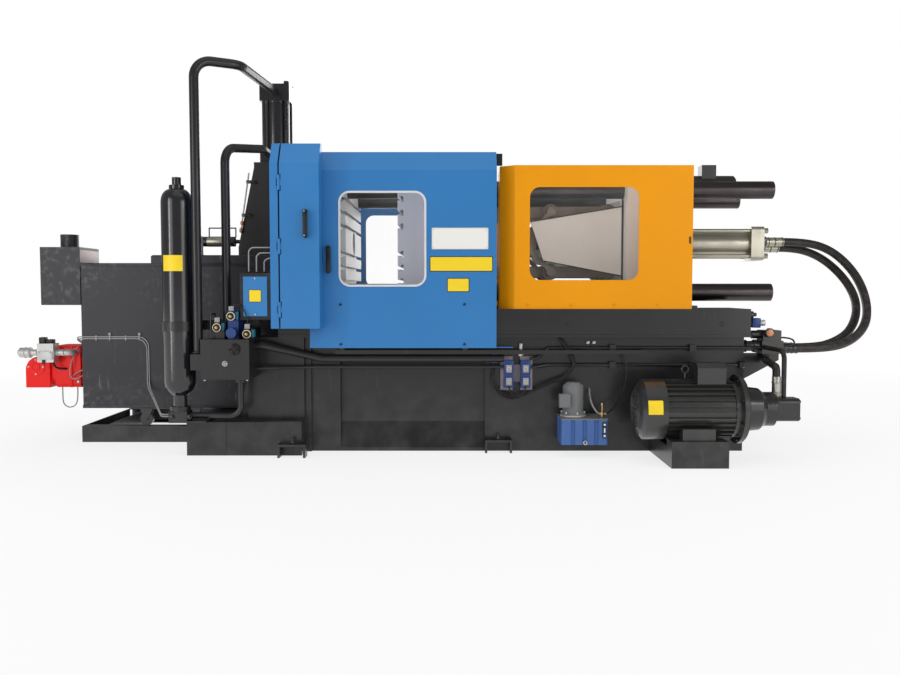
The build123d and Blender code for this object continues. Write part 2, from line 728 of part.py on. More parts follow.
# Gas burner: tube, flange, body and round fan housing
burner_flange_x = FURNACE_LEFT - BURNER_TUBE_LENGTH
burner_body_x = burner_flange_x - BURNER_FLANGE_THICKNESS
burner_neck_x = burner_body_x - BURNER_BODY_LENGTH
burner_fan_x = burner_neck_x - BURNER_NECK_LENGTH
burner_bottom = BURNER_HEIGHT - BURNER_BODY_DROP
burner_front = BURNER_Y - BURNER_BODY_DEPTH / 2
with BuildPart() as burner_body:
    burner_axis = (BURNER_Y, BURNER_HEIGHT)
    rod((FURNACE_LEFT, *burner_axis), (burner_flange_x, *burner_axis), BURNER_TUBE_RADIUS)
    with BuildSketch(Plane.YZ.offset(burner_body_x)):
        with Locations((BURNER_Y, BURNER_HEIGHT)):
            RectangleRounded(BURNER_FLANGE, BURNER_FLANGE, BURNER_FLANGE / 10)
    extrude(amount=BURNER_FLANGE_THICKNESS)
    with BuildSketch(Plane.YZ.offset(burner_neck_x)):
        with Locations((BURNER_Y, burner_bottom + BURNER_BODY_HEIGHT / 2)):
            RectangleRounded(BURNER_BODY_DEPTH, BURNER_BODY_HEIGHT, BURNER_BODY_DEPTH / 8)
    extrude(amount=BURNER_BODY_LENGTH)
    with BuildSketch(Plane.YZ.offset(burner_fan_x)):
        with Locations((BURNER_Y, BURNER_HEIGHT)):
            RectangleRounded(BURNER_BODY_DEPTH * 0.8, BURNER_NECK_HEIGHT, BURNER_BODY_DEPTH / 8)
    extrude(amount=BURNER_NECK_LENGTH)
    fan_left = burner_fan_x - BURNER_FAN_LENGTH
    fan_top = burner_bottom + BURNER_FAN_HEIGHT
    with BuildSketch(front_plane(-burner_front)):
        with BuildLine():
            Polyline(
                (fan_left, fan_top - BURNER_FAN_CORNER),
                (fan_left, burner_bottom),
                (burner_fan_x, burner_bottom),
                (burner_fan_x, fan_top),
                (fan_left + BURNER_FAN_CORNER, fan_top),
            )
            RadiusArc(
                (fan_left, fan_top - BURNER_FAN_CORNER),
                (fan_left + BURNER_FAN_CORNER, fan_top),
                BURNER_FAN_CORNER,
            )
        make_face()
    extrude(amount=-BURNER_BODY_DEPTH)
    disc_x = fan_left + BURNER_DISC_RADIUS + PLATE
    disc_z = burner_bottom + BURNER_FAN_HEIGHT - BURNER_DISC_RADIUS - PLATE
    rod(
        (disc_x, burner_front, disc_z),
        (disc_x, burner_front - BURNER_DISC_THICKNESS, disc_z),
        BURNER_DISC_RADIUS,
    )
finish(burner_body, "burner_body")

# Gas valve train in front of the burner, with its pipe into the body's front
gas_y = burner_front - GAS_GAP - GAS_BLOCK_DEPTH / 2
gas_z = BURNER_HEIGHT + GAS_RISE
gas_right = burner_neck_x + GAS_REACH
gas_left = gas_right - GAS_BLOCK_LENGTH
gas_elbow_x = gas_right + GAS_PIPE_LENGTH
with BuildPart() as gas_valve_train:
    block(
        (gas_left, gas_right),
        (gas_y - GAS_BLOCK_DEPTH / 2, gas_y + GAS_BLOCK_DEPTH / 2),
        (gas_z - GAS_BLOCK_HEIGHT / 2, gas_z + GAS_BLOCK_HEIGHT / 2),
    )
    turned(
        (gas_left, gas_y, gas_z),
        (-1, 0, 0),
        [
            (0, 0),
            (0, GAS_PIPE_RADIUS),
            (GAS_CAP_LENGTH * 0.4, GAS_PIPE_RADIUS),
            (GAS_CAP_LENGTH * 0.4, GAS_CAP_RADIUS),
            (GAS_CAP_LENGTH * 0.9, GAS_CAP_RADIUS),
            (GAS_CAP_LENGTH, GAS_CAP_RADIUS * 0.5),
            (GAS_CAP_LENGTH, 0),
        ],
    )
    pipe(
        [(gas_right, gas_y, gas_z), (gas_elbow_x, gas_y, gas_z), (gas_elbow_x, burner_front, gas_z)],
        GAS_PIPE_RADIUS,
        GAS_PIPE_RADIUS * 1.5,
    )
finish(gas_valve_train, "gas_valve_train")

# Injection frame: two tapered cheeks between a base and a head, reaching to the fixed platen
frame_bottom = plate_top + FRAME_GAP
frame_base_top = frame_bottom + FRAME_BASE_HEIGHT
frame_top = frame_bottom + FRAME_HEIGHT
frame_right = FIXED_FACE - FIXED_THICKNESS
with BuildPart() as injection_frame:
    frame_left = INJECTION_X - FRAME_FOOT_LENGTH / 2
    block((frame_left, frame_right), (-FRAME_HALF_WIDTH, FRAME_HALF_WIDTH), (frame_bottom, frame_base_top))
    head_x = (INJECTION_X - FRAME_HEAD_LENGTH / 2, INJECTION_X + FRAME_HEAD_LENGTH / 2)
    for side in (-1, 1):
        cheek_front = -side * FRAME_HALF_WIDTH if side < 0 else -(FRAME_HALF_WIDTH - FRAME_WALL)
        prism(
            Plane.XZ.offset(cheek_front),
            [
                (frame_left, frame_base_top),
                (INJECTION_X + FRAME_FOOT_LENGTH / 2, frame_base_top),
                (head_x[1], frame_top),
                (head_x[0], frame_top),
            ],
            -FRAME_WALL,
        )
    block(head_x, (-FRAME_HALF_WIDTH, FRAME_HALF_WIDTH), (frame_top, frame_top + FRAME_HEAD_THICKNESS))
    rod(
        (INJECTION_X, 0, frame_bottom),
        (INJECTION_X, 0, frame_top + FRAME_HEAD_THICKNESS),
        PLUNGER_RADIUS + FIT,
        mode=Mode.SUBTRACT,
    )
finish(injection_frame, "injection_frame")

# Injection cylinder with its heads, tie rods, nuts and plunger
cylinder_bottom = frame_top + FRAME_HEAD_THICKNESS
cylinder_z = cylinder_bottom + CYLINDER_HEAD_HEIGHT
cap_z = cylinder_z + CYLINDER_LENGTH
cap_top = cap_z + CYLINDER_CAP_HEIGHT
half_head = CYLINDER_HEAD / 2
half_cap = CYLINDER_CAP / 2
with BuildPart() as injection_cylinder:
    block(
        (INJECTION_X - half_head, INJECTION_X + half_head),
        (-half_head, half_head),
        (cylinder_bottom, cylinder_z),
    )
    rod((INJECTION_X, 0, cylinder_z), (INJECTION_X, 0, cap_z), CYLINDER_RADIUS)
    block((INJECTION_X - half_cap, INJECTION_X + half_cap), (-half_cap, half_cap), (cap_z, cap_top))
    with BuildSketch(Plane.XY.offset(cylinder_z)):
        with Locations((INJECTION_X, 0)):
            with GridLocations(CYLINDER_ROD_PITCH, CYLINDER_ROD_PITCH, 2, 2):
                Circle(CYLINDER_ROD_RADIUS)
    extrude(amount=CYLINDER_LENGTH)
    with BuildSketch(Plane.XY.offset(cap_top)):
        with Locations((INJECTION_X, 0)):
            with GridLocations(CYLINDER_ROD_PITCH, CYLINDER_ROD_PITCH, 2, 2):
                RegularPolygon(CYLINDER_NUT_RADIUS, 6)
    extrude(amount=CYLINDER_NUT_HEIGHT)
    rod((INJECTION_X, 0, furnace_top), (INJECTION_X, 0, cylinder_bottom), PLUNGER_RADIUS)
finish(injection_cylinder, "injection_cylinder")

# Small setting cylinder between its post and the frame's front cheek
setting_y = -FRAME_HALF_WIDTH + FRAME_WALL / 2
setting_z = plate_top + SETTING_RISE
frame_slope = (FRAME_FOOT_LENGTH - FRAME_HEAD_LENGTH) / 2 / (frame_top - frame_base_top)
setting_right = frame_left + frame_slope * (setting_z - SETTING_ROD_RADIUS - frame_base_top)
setting_left = setting_right - SETTING_ROD_LENGTH - SETTING_LENGTH
with BuildPart() as setting_cylinder:
    rod(
        (setting_right - FIT, setting_y, setting_z),
        (setting_right - SETTING_ROD_LENGTH, setting_y, setting_z),
        SETTING_ROD_RADIUS,
    )
    rod(
        (setting_right - SETTING_ROD_LENGTH, setting_y, setting_z),
        (setting_left, setting_y, setting_z),
        SETTING_RADIUS,
    )
    prism(
        Plane.YZ.offset(setting_left - SETTING_POST),
        [
            (setting_y - SETTING_POST_WIDTH / 2, plate_top),
            (setting_y + SETTING_POST_WIDTH / 2, plate_top),
            (setting_y + SETTING_RADIUS, setting_z + SETTING_RADIUS),
            (setting_y - SETTING_RADIUS, setting_z + SETTING_RADIUS),
        ],
        SETTING_POST,
    )
finish(setting_cylinder, "setting_cylinder")

# Accumulator bottle on its base at the plinth's corner
bottle_x = plinth_left + BOTTLE_OFFSET
bottle_y = -plinth_front - BOTTLE_SETBACK
shelf_top = PLINTH_HEIGHT + BASE_SHELF
base_top = shelf_top + BASE_BLOCK_HEIGHT
bottle_foot = base_top + BASE_FLANGE_HEIGHT
shoulder_z = bottle_foot + BOTTLE_NECK_LENGTH
bottle_top = bottle_foot + BOTTLE_LENGTH
ring_z = bottle_top + BOTTLE_DOME
with BuildPart() as accumulator_bottle:
    with BuildSketch(Plane(origin=(bottle_x, bottle_y, 0), x_dir=(1, 0, 0), z_dir=(0, -1, 0))):
        with BuildLine():
            Polyline((0, bottle_foot), (BOTTLE_NECK_RADIUS, bottle_foot), (BOTTLE_NECK_RADIUS, shoulder_z))
            Spline(
                (BOTTLE_NECK_RADIUS, shoulder_z),
                (BOTTLE_RADIUS, shoulder_z + BOTTLE_SHOULDER),
                tangents=[(1, 0.6), (0, 1)],
            )
            Line((BOTTLE_RADIUS, shoulder_z + BOTTLE_SHOULDER), (BOTTLE_RADIUS, bottle_top))
            Spline(
                (BOTTLE_RADIUS, bottle_top),
                (BOTTLE_RING_RADIUS, ring_z),
                tangents=[(0, 1), (-1, 0.3)],
            )
            Polyline(
                (BOTTLE_RING_RADIUS, ring_z),
                (BOTTLE_RING_RADIUS, ring_z + BOTTLE_RING_HEIGHT),
                (BOTTLE_TIP_RADIUS, ring_z + BOTTLE_RING_HEIGHT),
                (BOTTLE_TIP_RADIUS, ring_z + BOTTLE_RING_HEIGHT + BOTTLE_TIP_HEIGHT),
                (0, ring_z + BOTTLE_RING_HEIGHT + BOTTLE_TIP_HEIGHT),
                (0, bottle_foot),
            )
        make_face()
    revolve(axis=Axis((bottle_x, bottle_y, 0), (0, 0, 1)))
finish(accumulator_bottle, "accumulator_bottle")

base_x = (bottle_x - BASE_BLOCK / 2, bottle_x + BASE_BLOCK / 2)
base_y = (bottle_y - BASE_BLOCK / 2, bottle_y + BASE_BLOCK / 2)
with BuildPart() as accumulator_base:
    shelf_x = (base_x[0], base_x[1] + BASE_BLOCK)
    block(shelf_x, (base_y[0], base_y[1] + BASE_BLOCK), (PLINTH_HEIGHT, shelf_top))
    block(base_x, base_y, (shelf_top, base_top))
    rod((bottle_x, bottle_y, base_top), (bottle_x, bottle_y, bottle_foot), BASE_FLANGE_RADIUS)
finish(accumulator_base, "accumulator_base")

# Band round the bottle with its arm to the column
clamp_z = (bottle_foot + CLAMP_RISE, bottle_foot + CLAMP_RISE + CLAMP_HEIGHT)
clamp_outer = BOTTLE_RADIUS + FIT + CLAMP_WALL
arm_back = -column_front + CLAMP_ARM
with BuildPart() as accumulator_clamp:
    with BuildSketch(Plane.XY.offset(clamp_z[0])):
        with Locations((bottle_x, bottle_y)):
            Circle(clamp_outer)
            Circle(BOTTLE_RADIUS + FIT, mode=Mode.SUBTRACT)
    extrude(amount=CLAMP_HEIGHT)
    arm_start = bottle_y + BOTTLE_RADIUS + CLAMP_WALL / 2
    block((bottle_x - CLAMP_ARM, bottle_x + CLAMP_ARM), (arm_start, arm_back), clamp_z)
    block((bottle_x - CLAMP_ARM, column_left + MANIFOLD_OVERLAP), (-column_front, arm_back), clamp_z)
    upright_x = (column_left, column_left + MANIFOLD_OVERLAP)
    block(upright_x, (-column_front, arm_back), (TANK_HEIGHT, clamp_z[1]))
finish(accumulator_clamp, "accumulator_clamp")

# Manifold block with its side block and lower flange, on the column's front
manifold_x = (column_left + MANIFOLD_OVERLAP - MANIFOLD_LENGTH, column_left + MANIFOLD_OVERLAP)
manifold_y = (-column_front - MANIFOLD_DEPTH, -column_front)
manifold_z = (MANIFOLD_BOTTOM, MANIFOLD_BOTTOM + MANIFOLD_HEIGHT)
side_x = (manifold_x[0] - 2 * MAIN_PIPE_RADIUS - RUN, manifold_x[0])
side_y = (manifold_y[0] + RUN, manifold_y[0] + RUN + SIDE_BLOCK_DEPTH)
side_z = (MANIFOLD_BOTTOM + SIDE_BLOCK_RISE, MANIFOLD_BOTTOM + SIDE_BLOCK_RISE + SIDE_BLOCK_HEIGHT)
feed_x = manifold_x[1] - FEED_INSET
feed_flange_bottom = MANIFOLD_BOTTOM - BASE_FLANGE_HEIGHT
with BuildPart() as manifold_block:
    block(manifold_x, manifold_y, manifold_z)
    chamfer(manifold_block.edges().filter_by(Axis.Y), length=4)
    block(side_x, side_y, side_z)
    rod((feed_x, bottle_y, feed_flange_bottom), (feed_x, bottle_y, MANIFOLD_BOTTOM), 2 * FEED_RADIUS)
finish(manifold_block, "manifold_block")

# Valves on the manifold: bodies with a coil facing the operator and a plug on top
manifold_mid = sum(manifold_x) / 2
valve_back = manifold_y[1] - RUN
valve_front = valve_back - VALVE_DEPTH


def solenoid_valve(offset, rise):
    """Add one valve body on the manifold, with its coil and the coil's plug."""
    valve_x = manifold_mid + offset
    top = manifold_z[1] + rise
    coil_z = top - COIL_RADIUS - RUN
    block(
        (valve_x - VALVE_WIDTH / 2, valve_x + VALVE_WIDTH / 2),
        (valve_front, valve_back),
        (manifold_z[1], top),
    )
    turned(
        (valve_x, valve_front, coil_z),
        (0, -1, 0),
        [
            (0, 0),
            (0, COIL_RADIUS),
            (COIL_LENGTH, COIL_RADIUS),
            (COIL_LENGTH, COIL_RADIUS / 3),
            (COIL_LENGTH + COIL_RADIUS / 3, COIL_RADIUS / 3),
            (COIL_LENGTH + COIL_RADIUS / 3, 0),
        ],
    )
    block(
        (valve_x - PLUG_SIDE / 2, valve_x + PLUG_SIDE / 2),
        (valve_front - PLUG_SIDE - RUN, valve_front - RUN),
        (coil_z, coil_z + COIL_RADIUS + PLUG_SIDE),
    )


with BuildPart() as manifold_valves:
    solenoid_valve(VALVE_OFFSETS[0], VALVE_RISES[0])
    solenoid_valve(VALVE_OFFSETS[2], VALVE_RISES[2])
finish(manifold_valves, "manifold_valves")

with BuildPart() as cast_valve:
    solenoid_valve(VALVE_OFFSETS[1], VALVE_RISES[1])
    nose_x = manifold_mid + VALVE_OFFSETS[1]
    nose_z = manifold_z[1] + CAST_NOSE_RADIUS + RUN
    rod((nose_x, valve_front, nose_z), (nose_x, valve_front - COIL_LENGTH, nose_z), CAST_NOSE_RADIUS)
finish(cast_valve, "cast_valve")

# Pressure pipes: accumulator feed, riser to the cylinder's cap, and return from its lower head
feed_z = (shelf_top + base_top) / 2
riser_x = side_x[0] + MAIN_PIPE_RADIUS
riser_y = sum(side_y) / 2
cap_port_z = (cap_z + cap_top) / 2
riser_top = cap_port_z - MAIN_PIPE_RADIUS / 2
return_y = valve_back - VALVE_DEPTH / 4
return_x = manifold_mid + VALVE_OFFSETS[0] + VALVE_WIDTH / 4
return_start = manifold_z[1] + VALVE_RISES[0]
head_port_z = (cylinder_bottom + cylinder_z) / 2
with BuildPart() as pressure_pipes:
    pipe(
        [(base_x[1], bottle_y, feed_z), (feed_x, bottle_y, feed_z), (feed_x, bottle_y, feed_flange_bottom)],
        FEED_RADIUS,
        FEED_BEND,
    )
    pipe(
        [
            (riser_x, riser_y, side_z[1]),
            (riser_x, riser_y, riser_top),
            (INJECTION_X - half_cap / 2, riser_y + 1.3 * MAIN_PIPE_BEND, riser_top),
            (INJECTION_X, -half_cap - MAIN_PIPE_BEND, cap_port_z),
            (INJECTION_X, -half_cap, cap_port_z),
        ],
        MAIN_PIPE_RADIUS,
        MAIN_PIPE_BEND,
    )
    pipe(
        [
            (return_x, return_y, return_start),
            (return_x, return_y, head_port_z - 2 * RETURN_PIPE_RADIUS),
            (INJECTION_X, (return_y - half_head) / 2, head_port_z),
            (INJECTION_X, -half_head, head_port_z),
        ],
        RETURN_PIPE_RADIUS,
        MAIN_PIPE_BEND,
    )
finish(pressure_pipes, "pressure_pipes")

# Side cover: fixed strip with its wall, standing on the beam's left end
wall_x = beam_left - SHEET
strip_right = wall_x + COVER_STRIP
seam_x = strip_right + HINGE_SEAM
cover_slope_y = -COVER_FRONT + COVER_SLOPE_DEPTH
wall_back = -COVER_FRONT + COVER_WALL_DEPTH
hinge_middle = (COVER_BOTTOM + COVER_CREASE) / 2
hinge_heights = [hinge_middle + index * HINGE_PITCH for index in (-1, 0, 1)]
lug_room = HINGE_RADIUS + HINGE_SEAM
with BuildPart() as side_cover_post:
    folded_sheet(
        Plane.YZ.offset(wall_x),
        [
            (wall_back, COVER_TOP),
            (cover_slope_y, COVER_TOP),
            (-COVER_FRONT, COVER_CREASE),
            (-COVER_FRONT, COVER_BOTTOM),
        ][::-1],
        COVER_STRIP,
    )
    prism(
        Plane.YZ.offset(wall_x),
        [
            (-COVER_FRONT, COVER_BOTTOM),
            (-COVER_FRONT, COVER_CREASE),
            (cover_slope_y, COVER_TOP),
            (wall_back, COVER_TOP),
            (wall_back, COVER_BOTTOM),
        ],
        SHEET,
    )
    for height in hinge_heights:
        knuckle_bottom = height - HINGE_LENGTH / 2 - HINGE_SEAM
        rod(
            (seam_x, -COVER_FRONT, knuckle_bottom),
            (seam_x, -COVER_FRONT, height + HINGE_LENGTH / 2 + HINGE_SEAM),
            lug_room,
            mode=Mode.SUBTRACT,
        )
        for low in (height - HINGE_LENGTH / 2 - FIT - HINGE_LUG, height + HINGE_LENGTH / 2 + FIT):
            rod((seam_x, -COVER_FRONT, low), (seam_x, -COVER_FRONT, low + HINGE_LUG), HINGE_RADIUS)
        rod(
            (seam_x, -COVER_FRONT, height - HINGE_LENGTH / 2 - HINGE_LUG),
            (seam_x, -COVER_FRONT, height + HINGE_LENGTH / 2 + HINGE_LUG),
            HINGE_PIN_RADIUS,
        )
finish(side_cover_post, "side_cover_post")

# Hinged leaf of the side cover, an open-backed pan
leaf_left = seam_x + HINGE_SEAM
leaf_right = leaf_left + COVER_LEAF - 2 * HINGE_SEAM
leaf_back = -DOOR_FRONT - RUN
with BuildPart() as side_cover_leaf:
    folded_sheet(
        Plane.YZ.offset(leaf_left),
        [
            (-COVER_FRONT + DOOR_HEM, COVER_BOTTOM),
            (-COVER_FRONT, COVER_BOTTOM),
            (-COVER_FRONT, COVER_CREASE),
            (cover_slope_y, COVER_TOP),
            (leaf_back, COVER_TOP),
        ],
        leaf_right - leaf_left,
    )
    prism(
        Plane.YZ.offset(leaf_right - SHEET),
        [
            (-COVER_FRONT, COVER_BOTTOM),
            (-COVER_FRONT, COVER_CREASE),
            (cover_slope_y, COVER_TOP),
            (leaf_back, COVER_TOP),
            (leaf_back, COVER_BOTTOM),
        ],
        SHEET,
    )
    for height in hinge_heights:
        for low in (height - HINGE_LENGTH / 2 - HINGE_LUG - HINGE_SEAM, height + HINGE_LENGTH / 2):
            rod(
                (seam_x, -COVER_FRONT, low),
                (seam_x, -COVER_FRONT, low + HINGE_LUG + HINGE_SEAM),
                lug_room,
                mode=Mode.SUBTRACT,
            )
        knuckle = (height - HINGE_LENGTH / 2, height + HINGE_LENGTH / 2)
        rod((seam_x, -COVER_FRONT, knuckle[0]), (seam_x, -COVER_FRONT, knuckle[1]), HINGE_RADIUS)
        rod(
            (seam_x, -COVER_FRONT, knuckle[0]),
            (seam_x, -COVER_FRONT, knuckle[1]),
            HINGE_PIN_RADIUS + FIT,
            mode=Mode.SUBTRACT,
        )
finish(side_cover_leaf, "side_cover_leaf")


def pull_handle(handle_x, front, bottom):
    """Build a bow handle on a panel's front face."""
    with BuildPart() as handle:
        top = bottom + HANDLE_LENGTH
        reach = -front - HANDLE_REACH
        pipe(
            [
                (handle_x, -front, bottom),
                (handle_x, reach, bottom),
                (handle_x, reach, top),
                (handle_x, -front, top),
            ],
            HANDLE_RADIUS,
            2 * HANDLE_RADIUS,
        )
    return handle


finish(
    pull_handle(
        leaf_right - COVER_LEAF / 3,
        COVER_FRONT,
        (COVER_BOTTOM + COVER_CREASE) / 2 + HANDLE_RADIUS + HANDLE_LENGTH / 3,
    ),
    "side_cover_handle",
)

# Junction box on the side cover's wall
box_x = (wall_x - BOX_WIDTH, wall_x)
box_y = (-COVER_FRONT + RUN, -COVER_FRONT + RUN + BOX_DEPTH)
box_z = (BOX_BOTTOM, BOX_BOTTOM + BOX_HEIGHT)
with BuildPart() as junction_box:
    block(box_x, box_y, box_z)
    fillet(junction_box.edges().filter_by(Axis.Z), radius=4)
finish(junction_box, "junction_box")

with BuildPart() as junction_box_door:
    block(
        (box_x[0] + BOX_DOOR_MARGIN, box_x[1] - BOX_DOOR_MARGIN),
        (box_y[0] - BOX_DOOR_THICKNESS, box_y[0]),
        (box_z[0] + BOX_DOOR_MARGIN, box_z[1] - BOX_DOOR_MARGIN),
    )
finish(junction_box_door, "junction_box_door")

# Sliding front door: a folded pan with a rounded window
door_right = DOOR_LEFT + DOOR_LENGTH
door_slope_y = -DOOR_FRONT + DOOR_SLOPE_DEPTH
hook_y = door_slope_y + DOOR_HOOK_DEPTH
door_window_x = DOOR_LEFT + DOOR_WINDOW_LEFT + DOOR_WINDOW_WIDTH / 2
door_window_z = DOOR_BOTTOM + DOOR_WINDOW_BOTTOM + DOOR_WINDOW_HEIGHT / 2
with BuildPart() as front_door_panel:
    folded_sheet(
        Plane.YZ.offset(DOOR_LEFT),
        [
            (-DOOR_FRONT + DOOR_HEM, DOOR_BOTTOM),
            (-DOOR_FRONT, DOOR_BOTTOM),
            (-DOOR_FRONT, DOOR_CREASE),
            (door_slope_y, DOOR_TOP),
            (hook_y, DOOR_TOP),
            (hook_y, DOOR_TOP - DOOR_HOOK_DROP),
        ],
        DOOR_LENGTH,
    )
    for end_x in (DOOR_LEFT, door_right - SHEET):
        prism(
            Plane.YZ.offset(end_x),
            [
                (-DOOR_FRONT, DOOR_BOTTOM),
                (-DOOR_FRONT, DOOR_CREASE),
                (door_slope_y, DOOR_TOP),
                (door_slope_y, DOOR_TOP - DOOR_HOOK_DROP),
                (-DOOR_FRONT + DOOR_RETURN, DOOR_CREASE),
                (-DOOR_FRONT + DOOR_RETURN, DOOR_BOTTOM),
            ],
            SHEET,
        )
    with BuildSketch(front_plane(DOOR_FRONT)):
        with Locations((door_window_x, door_window_z)):
            RectangleRounded(DOOR_WINDOW_WIDTH, DOOR_WINDOW_HEIGHT, WINDOW_CORNER)
    extrude(amount=-SHEET, mode=Mode.SUBTRACT)
finish(front_door_panel, "front_door_panel")


def window_glass(center_x, center_z, width, height, front):
    """Add a rounded pane that laps its opening behind a sheet whose inner face is at front."""
    with BuildSketch(front_plane(front)) as pane:
        with Locations((center_x, center_z)):
            RectangleRounded(width + 2 * GLASS_LAP, height + 2 * GLASS_LAP, WINDOW_CORNER)
    extrude(pane.sketch, amount=-GLASS if front > 0 else GLASS)


door_window = (door_window_x, door_window_z, DOOR_WINDOW_WIDTH, DOOR_WINDOW_HEIGHT)
with BuildPart() as front_door_glass:
    window_glass(*door_window, DOOR_FRONT - SHEET)
finish(front_door_glass, "front_door_glass")
finish(
    pull_handle(DOOR_LEFT + DOOR_HANDLE_LEFT, DOOR_FRONT, DOOR_BOTTOM + DOOR_HANDLE_BOTTOM),
    "front_door_handle",
)

# Door rollers with their axles and plates
roller_y = -DOOR_FRONT + ROLLER_SETBACK
roller_z = DOOR_BOTTOM + ROLLER_RISE
roller_spots = (DOOR_LEFT + ROLLER_INSET, DOOR_LEFT + DOOR_LENGTH - ROLLER_INSET)
with BuildPart() as front_door_rollers:
    for roller_x in roller_spots:
        plate_y = (-DOOR_FRONT + SHEET, -DOOR_FRONT + 2 * SHEET)
        block(
            (roller_x - ROLLER_RADIUS, roller_x + ROLLER_RADIUS),
            plate_y,
            (roller_z + HINGE_RADIUS, roller_z + 4 * ROLLER_RADIUS),
        )
        prism(
            front_plane(-plate_y[1]),
            [
                (roller_x - ROLLER_RADIUS, roller_z + 2 * ROLLER_RADIUS),
                (roller_x + ROLLER_RADIUS, roller_z + 2 * ROLLER_RADIUS),
                (roller_x + ROLLER_RADIUS, roller_z + 2 * ROLLER_RADIUS + SHEET),
                (roller_x - ROLLER_RADIUS, roller_z + 2 * ROLLER_RADIUS + SHEET),
            ],
            -(ROLLER_SETBACK + ROLLER_WIDTH / 2),
        )
        fork_y = roller_y + ROLLER_WIDTH / 2 + FIT
        prism(
            front_plane(-fork_y),
            [
                (roller_x - ROLLER_AXLE, roller_z - ROLLER_AXLE),
                (roller_x + ROLLER_AXLE, roller_z - ROLLER_AXLE),
                (roller_x + ROLLER_RADIUS, roller_z + 2 * ROLLER_RADIUS + SHEET),
                (roller_x - ROLLER_RADIUS, roller_z + 2 * ROLLER_RADIUS + SHEET),
            ],
            -SHEET,
        )
        rod((roller_x, fork_y, roller_z), (roller_x, roller_y - ROLLER_WIDTH / 2, roller_z), ROLLER_AXLE)
        rod(
            (roller_x, roller_y - ROLLER_WIDTH / 2, roller_z),
            (roller_x, roller_y + ROLLER_WIDTH / 2, roller_z),
            ROLLER_RADIUS,
        )
finish(front_door_rollers, "front_door_rollers")

# Toggle guards standing on the beams, folded round their ends
guard_right = GUARD_LEFT + GUARD_LENGTH
guard_window_x = GUARD_LEFT + GUARD_WINDOW_LEFT + GUARD_WINDOW_WIDTH / 2
guard_window_z = bed_top + GUARD_WINDOW_BOTTOM + GUARD_WINDOW_HEIGHT / 2
guard_back = GUARD_FRONT - GUARD_DEPTH
for side, label in ((-1, "toggle_guard"), (1, "rear_toggle_guard")):
    outline = [
        (guard_right, side * guard_back),
        (guard_right, side * GUARD_FRONT),
        (GUARD_LEFT + GUARD_CHAMFER, side * GUARD_FRONT),
        (GUARD_LEFT, side * (GUARD_FRONT - GUARD_CHAMFER_DEPTH)),
        (GUARD_LEFT, side * guard_back),
    ]
    with BuildPart() as guard:
        folded_sheet(Plane.XY.offset(bed_top), outline if side < 0 else outline[::-1], GUARD_TOP - bed_top)
        with BuildSketch(front_plane(-side * GUARD_FRONT)):
            with Locations((guard_window_x, guard_window_z)):
                RectangleRounded(GUARD_WINDOW_WIDTH, GUARD_WINDOW_HEIGHT, WINDOW_CORNER)
        extrude(amount=SHEET * side, mode=Mode.SUBTRACT)
    finish(guard, label)

# Fixed blue guard behind the die space, on the rear beam's back face
with BuildPart() as rear_die_guard:
    rear_y = beam_front + BEAM_LIP_DEPTH + SHEET
    folded_sheet(
        Plane.YZ.offset(beam_left),
        [
            (rear_y - DOOR_SLOPE_DEPTH, DOOR_TOP),
            (rear_y, DOOR_CREASE),
            (rear_y, TANK_HEIGHT),
        ],
        GUARD_LEFT - beam_left,
    )
    with BuildSketch(front_plane(-rear_y)):
        with Locations((door_window_x, door_window_z)):
            RectangleRounded(DOOR_WINDOW_WIDTH, DOOR_WINDOW_HEIGHT, WINDOW_CORNER)
    extrude(amount=SHEET, mode=Mode.SUBTRACT)
finish(rear_die_guard, "rear_die_guard")

guard_window = (guard_window_x, guard_window_z, GUARD_WINDOW_WIDTH, GUARD_WINDOW_HEIGHT)
with BuildPart() as toggle_guard_glass:
    window_glass(*guard_window, GUARD_FRONT - SHEET)
finish(toggle_guard_glass, "toggle_guard_glass")

with BuildPart() as rear_guard_glass:
    window_glass(*door_window, -(rear_y - SHEET))
    window_glass(*guard_window, -(GUARD_FRONT - SHEET))
finish(rear_guard_glass, "rear_guard_glass")


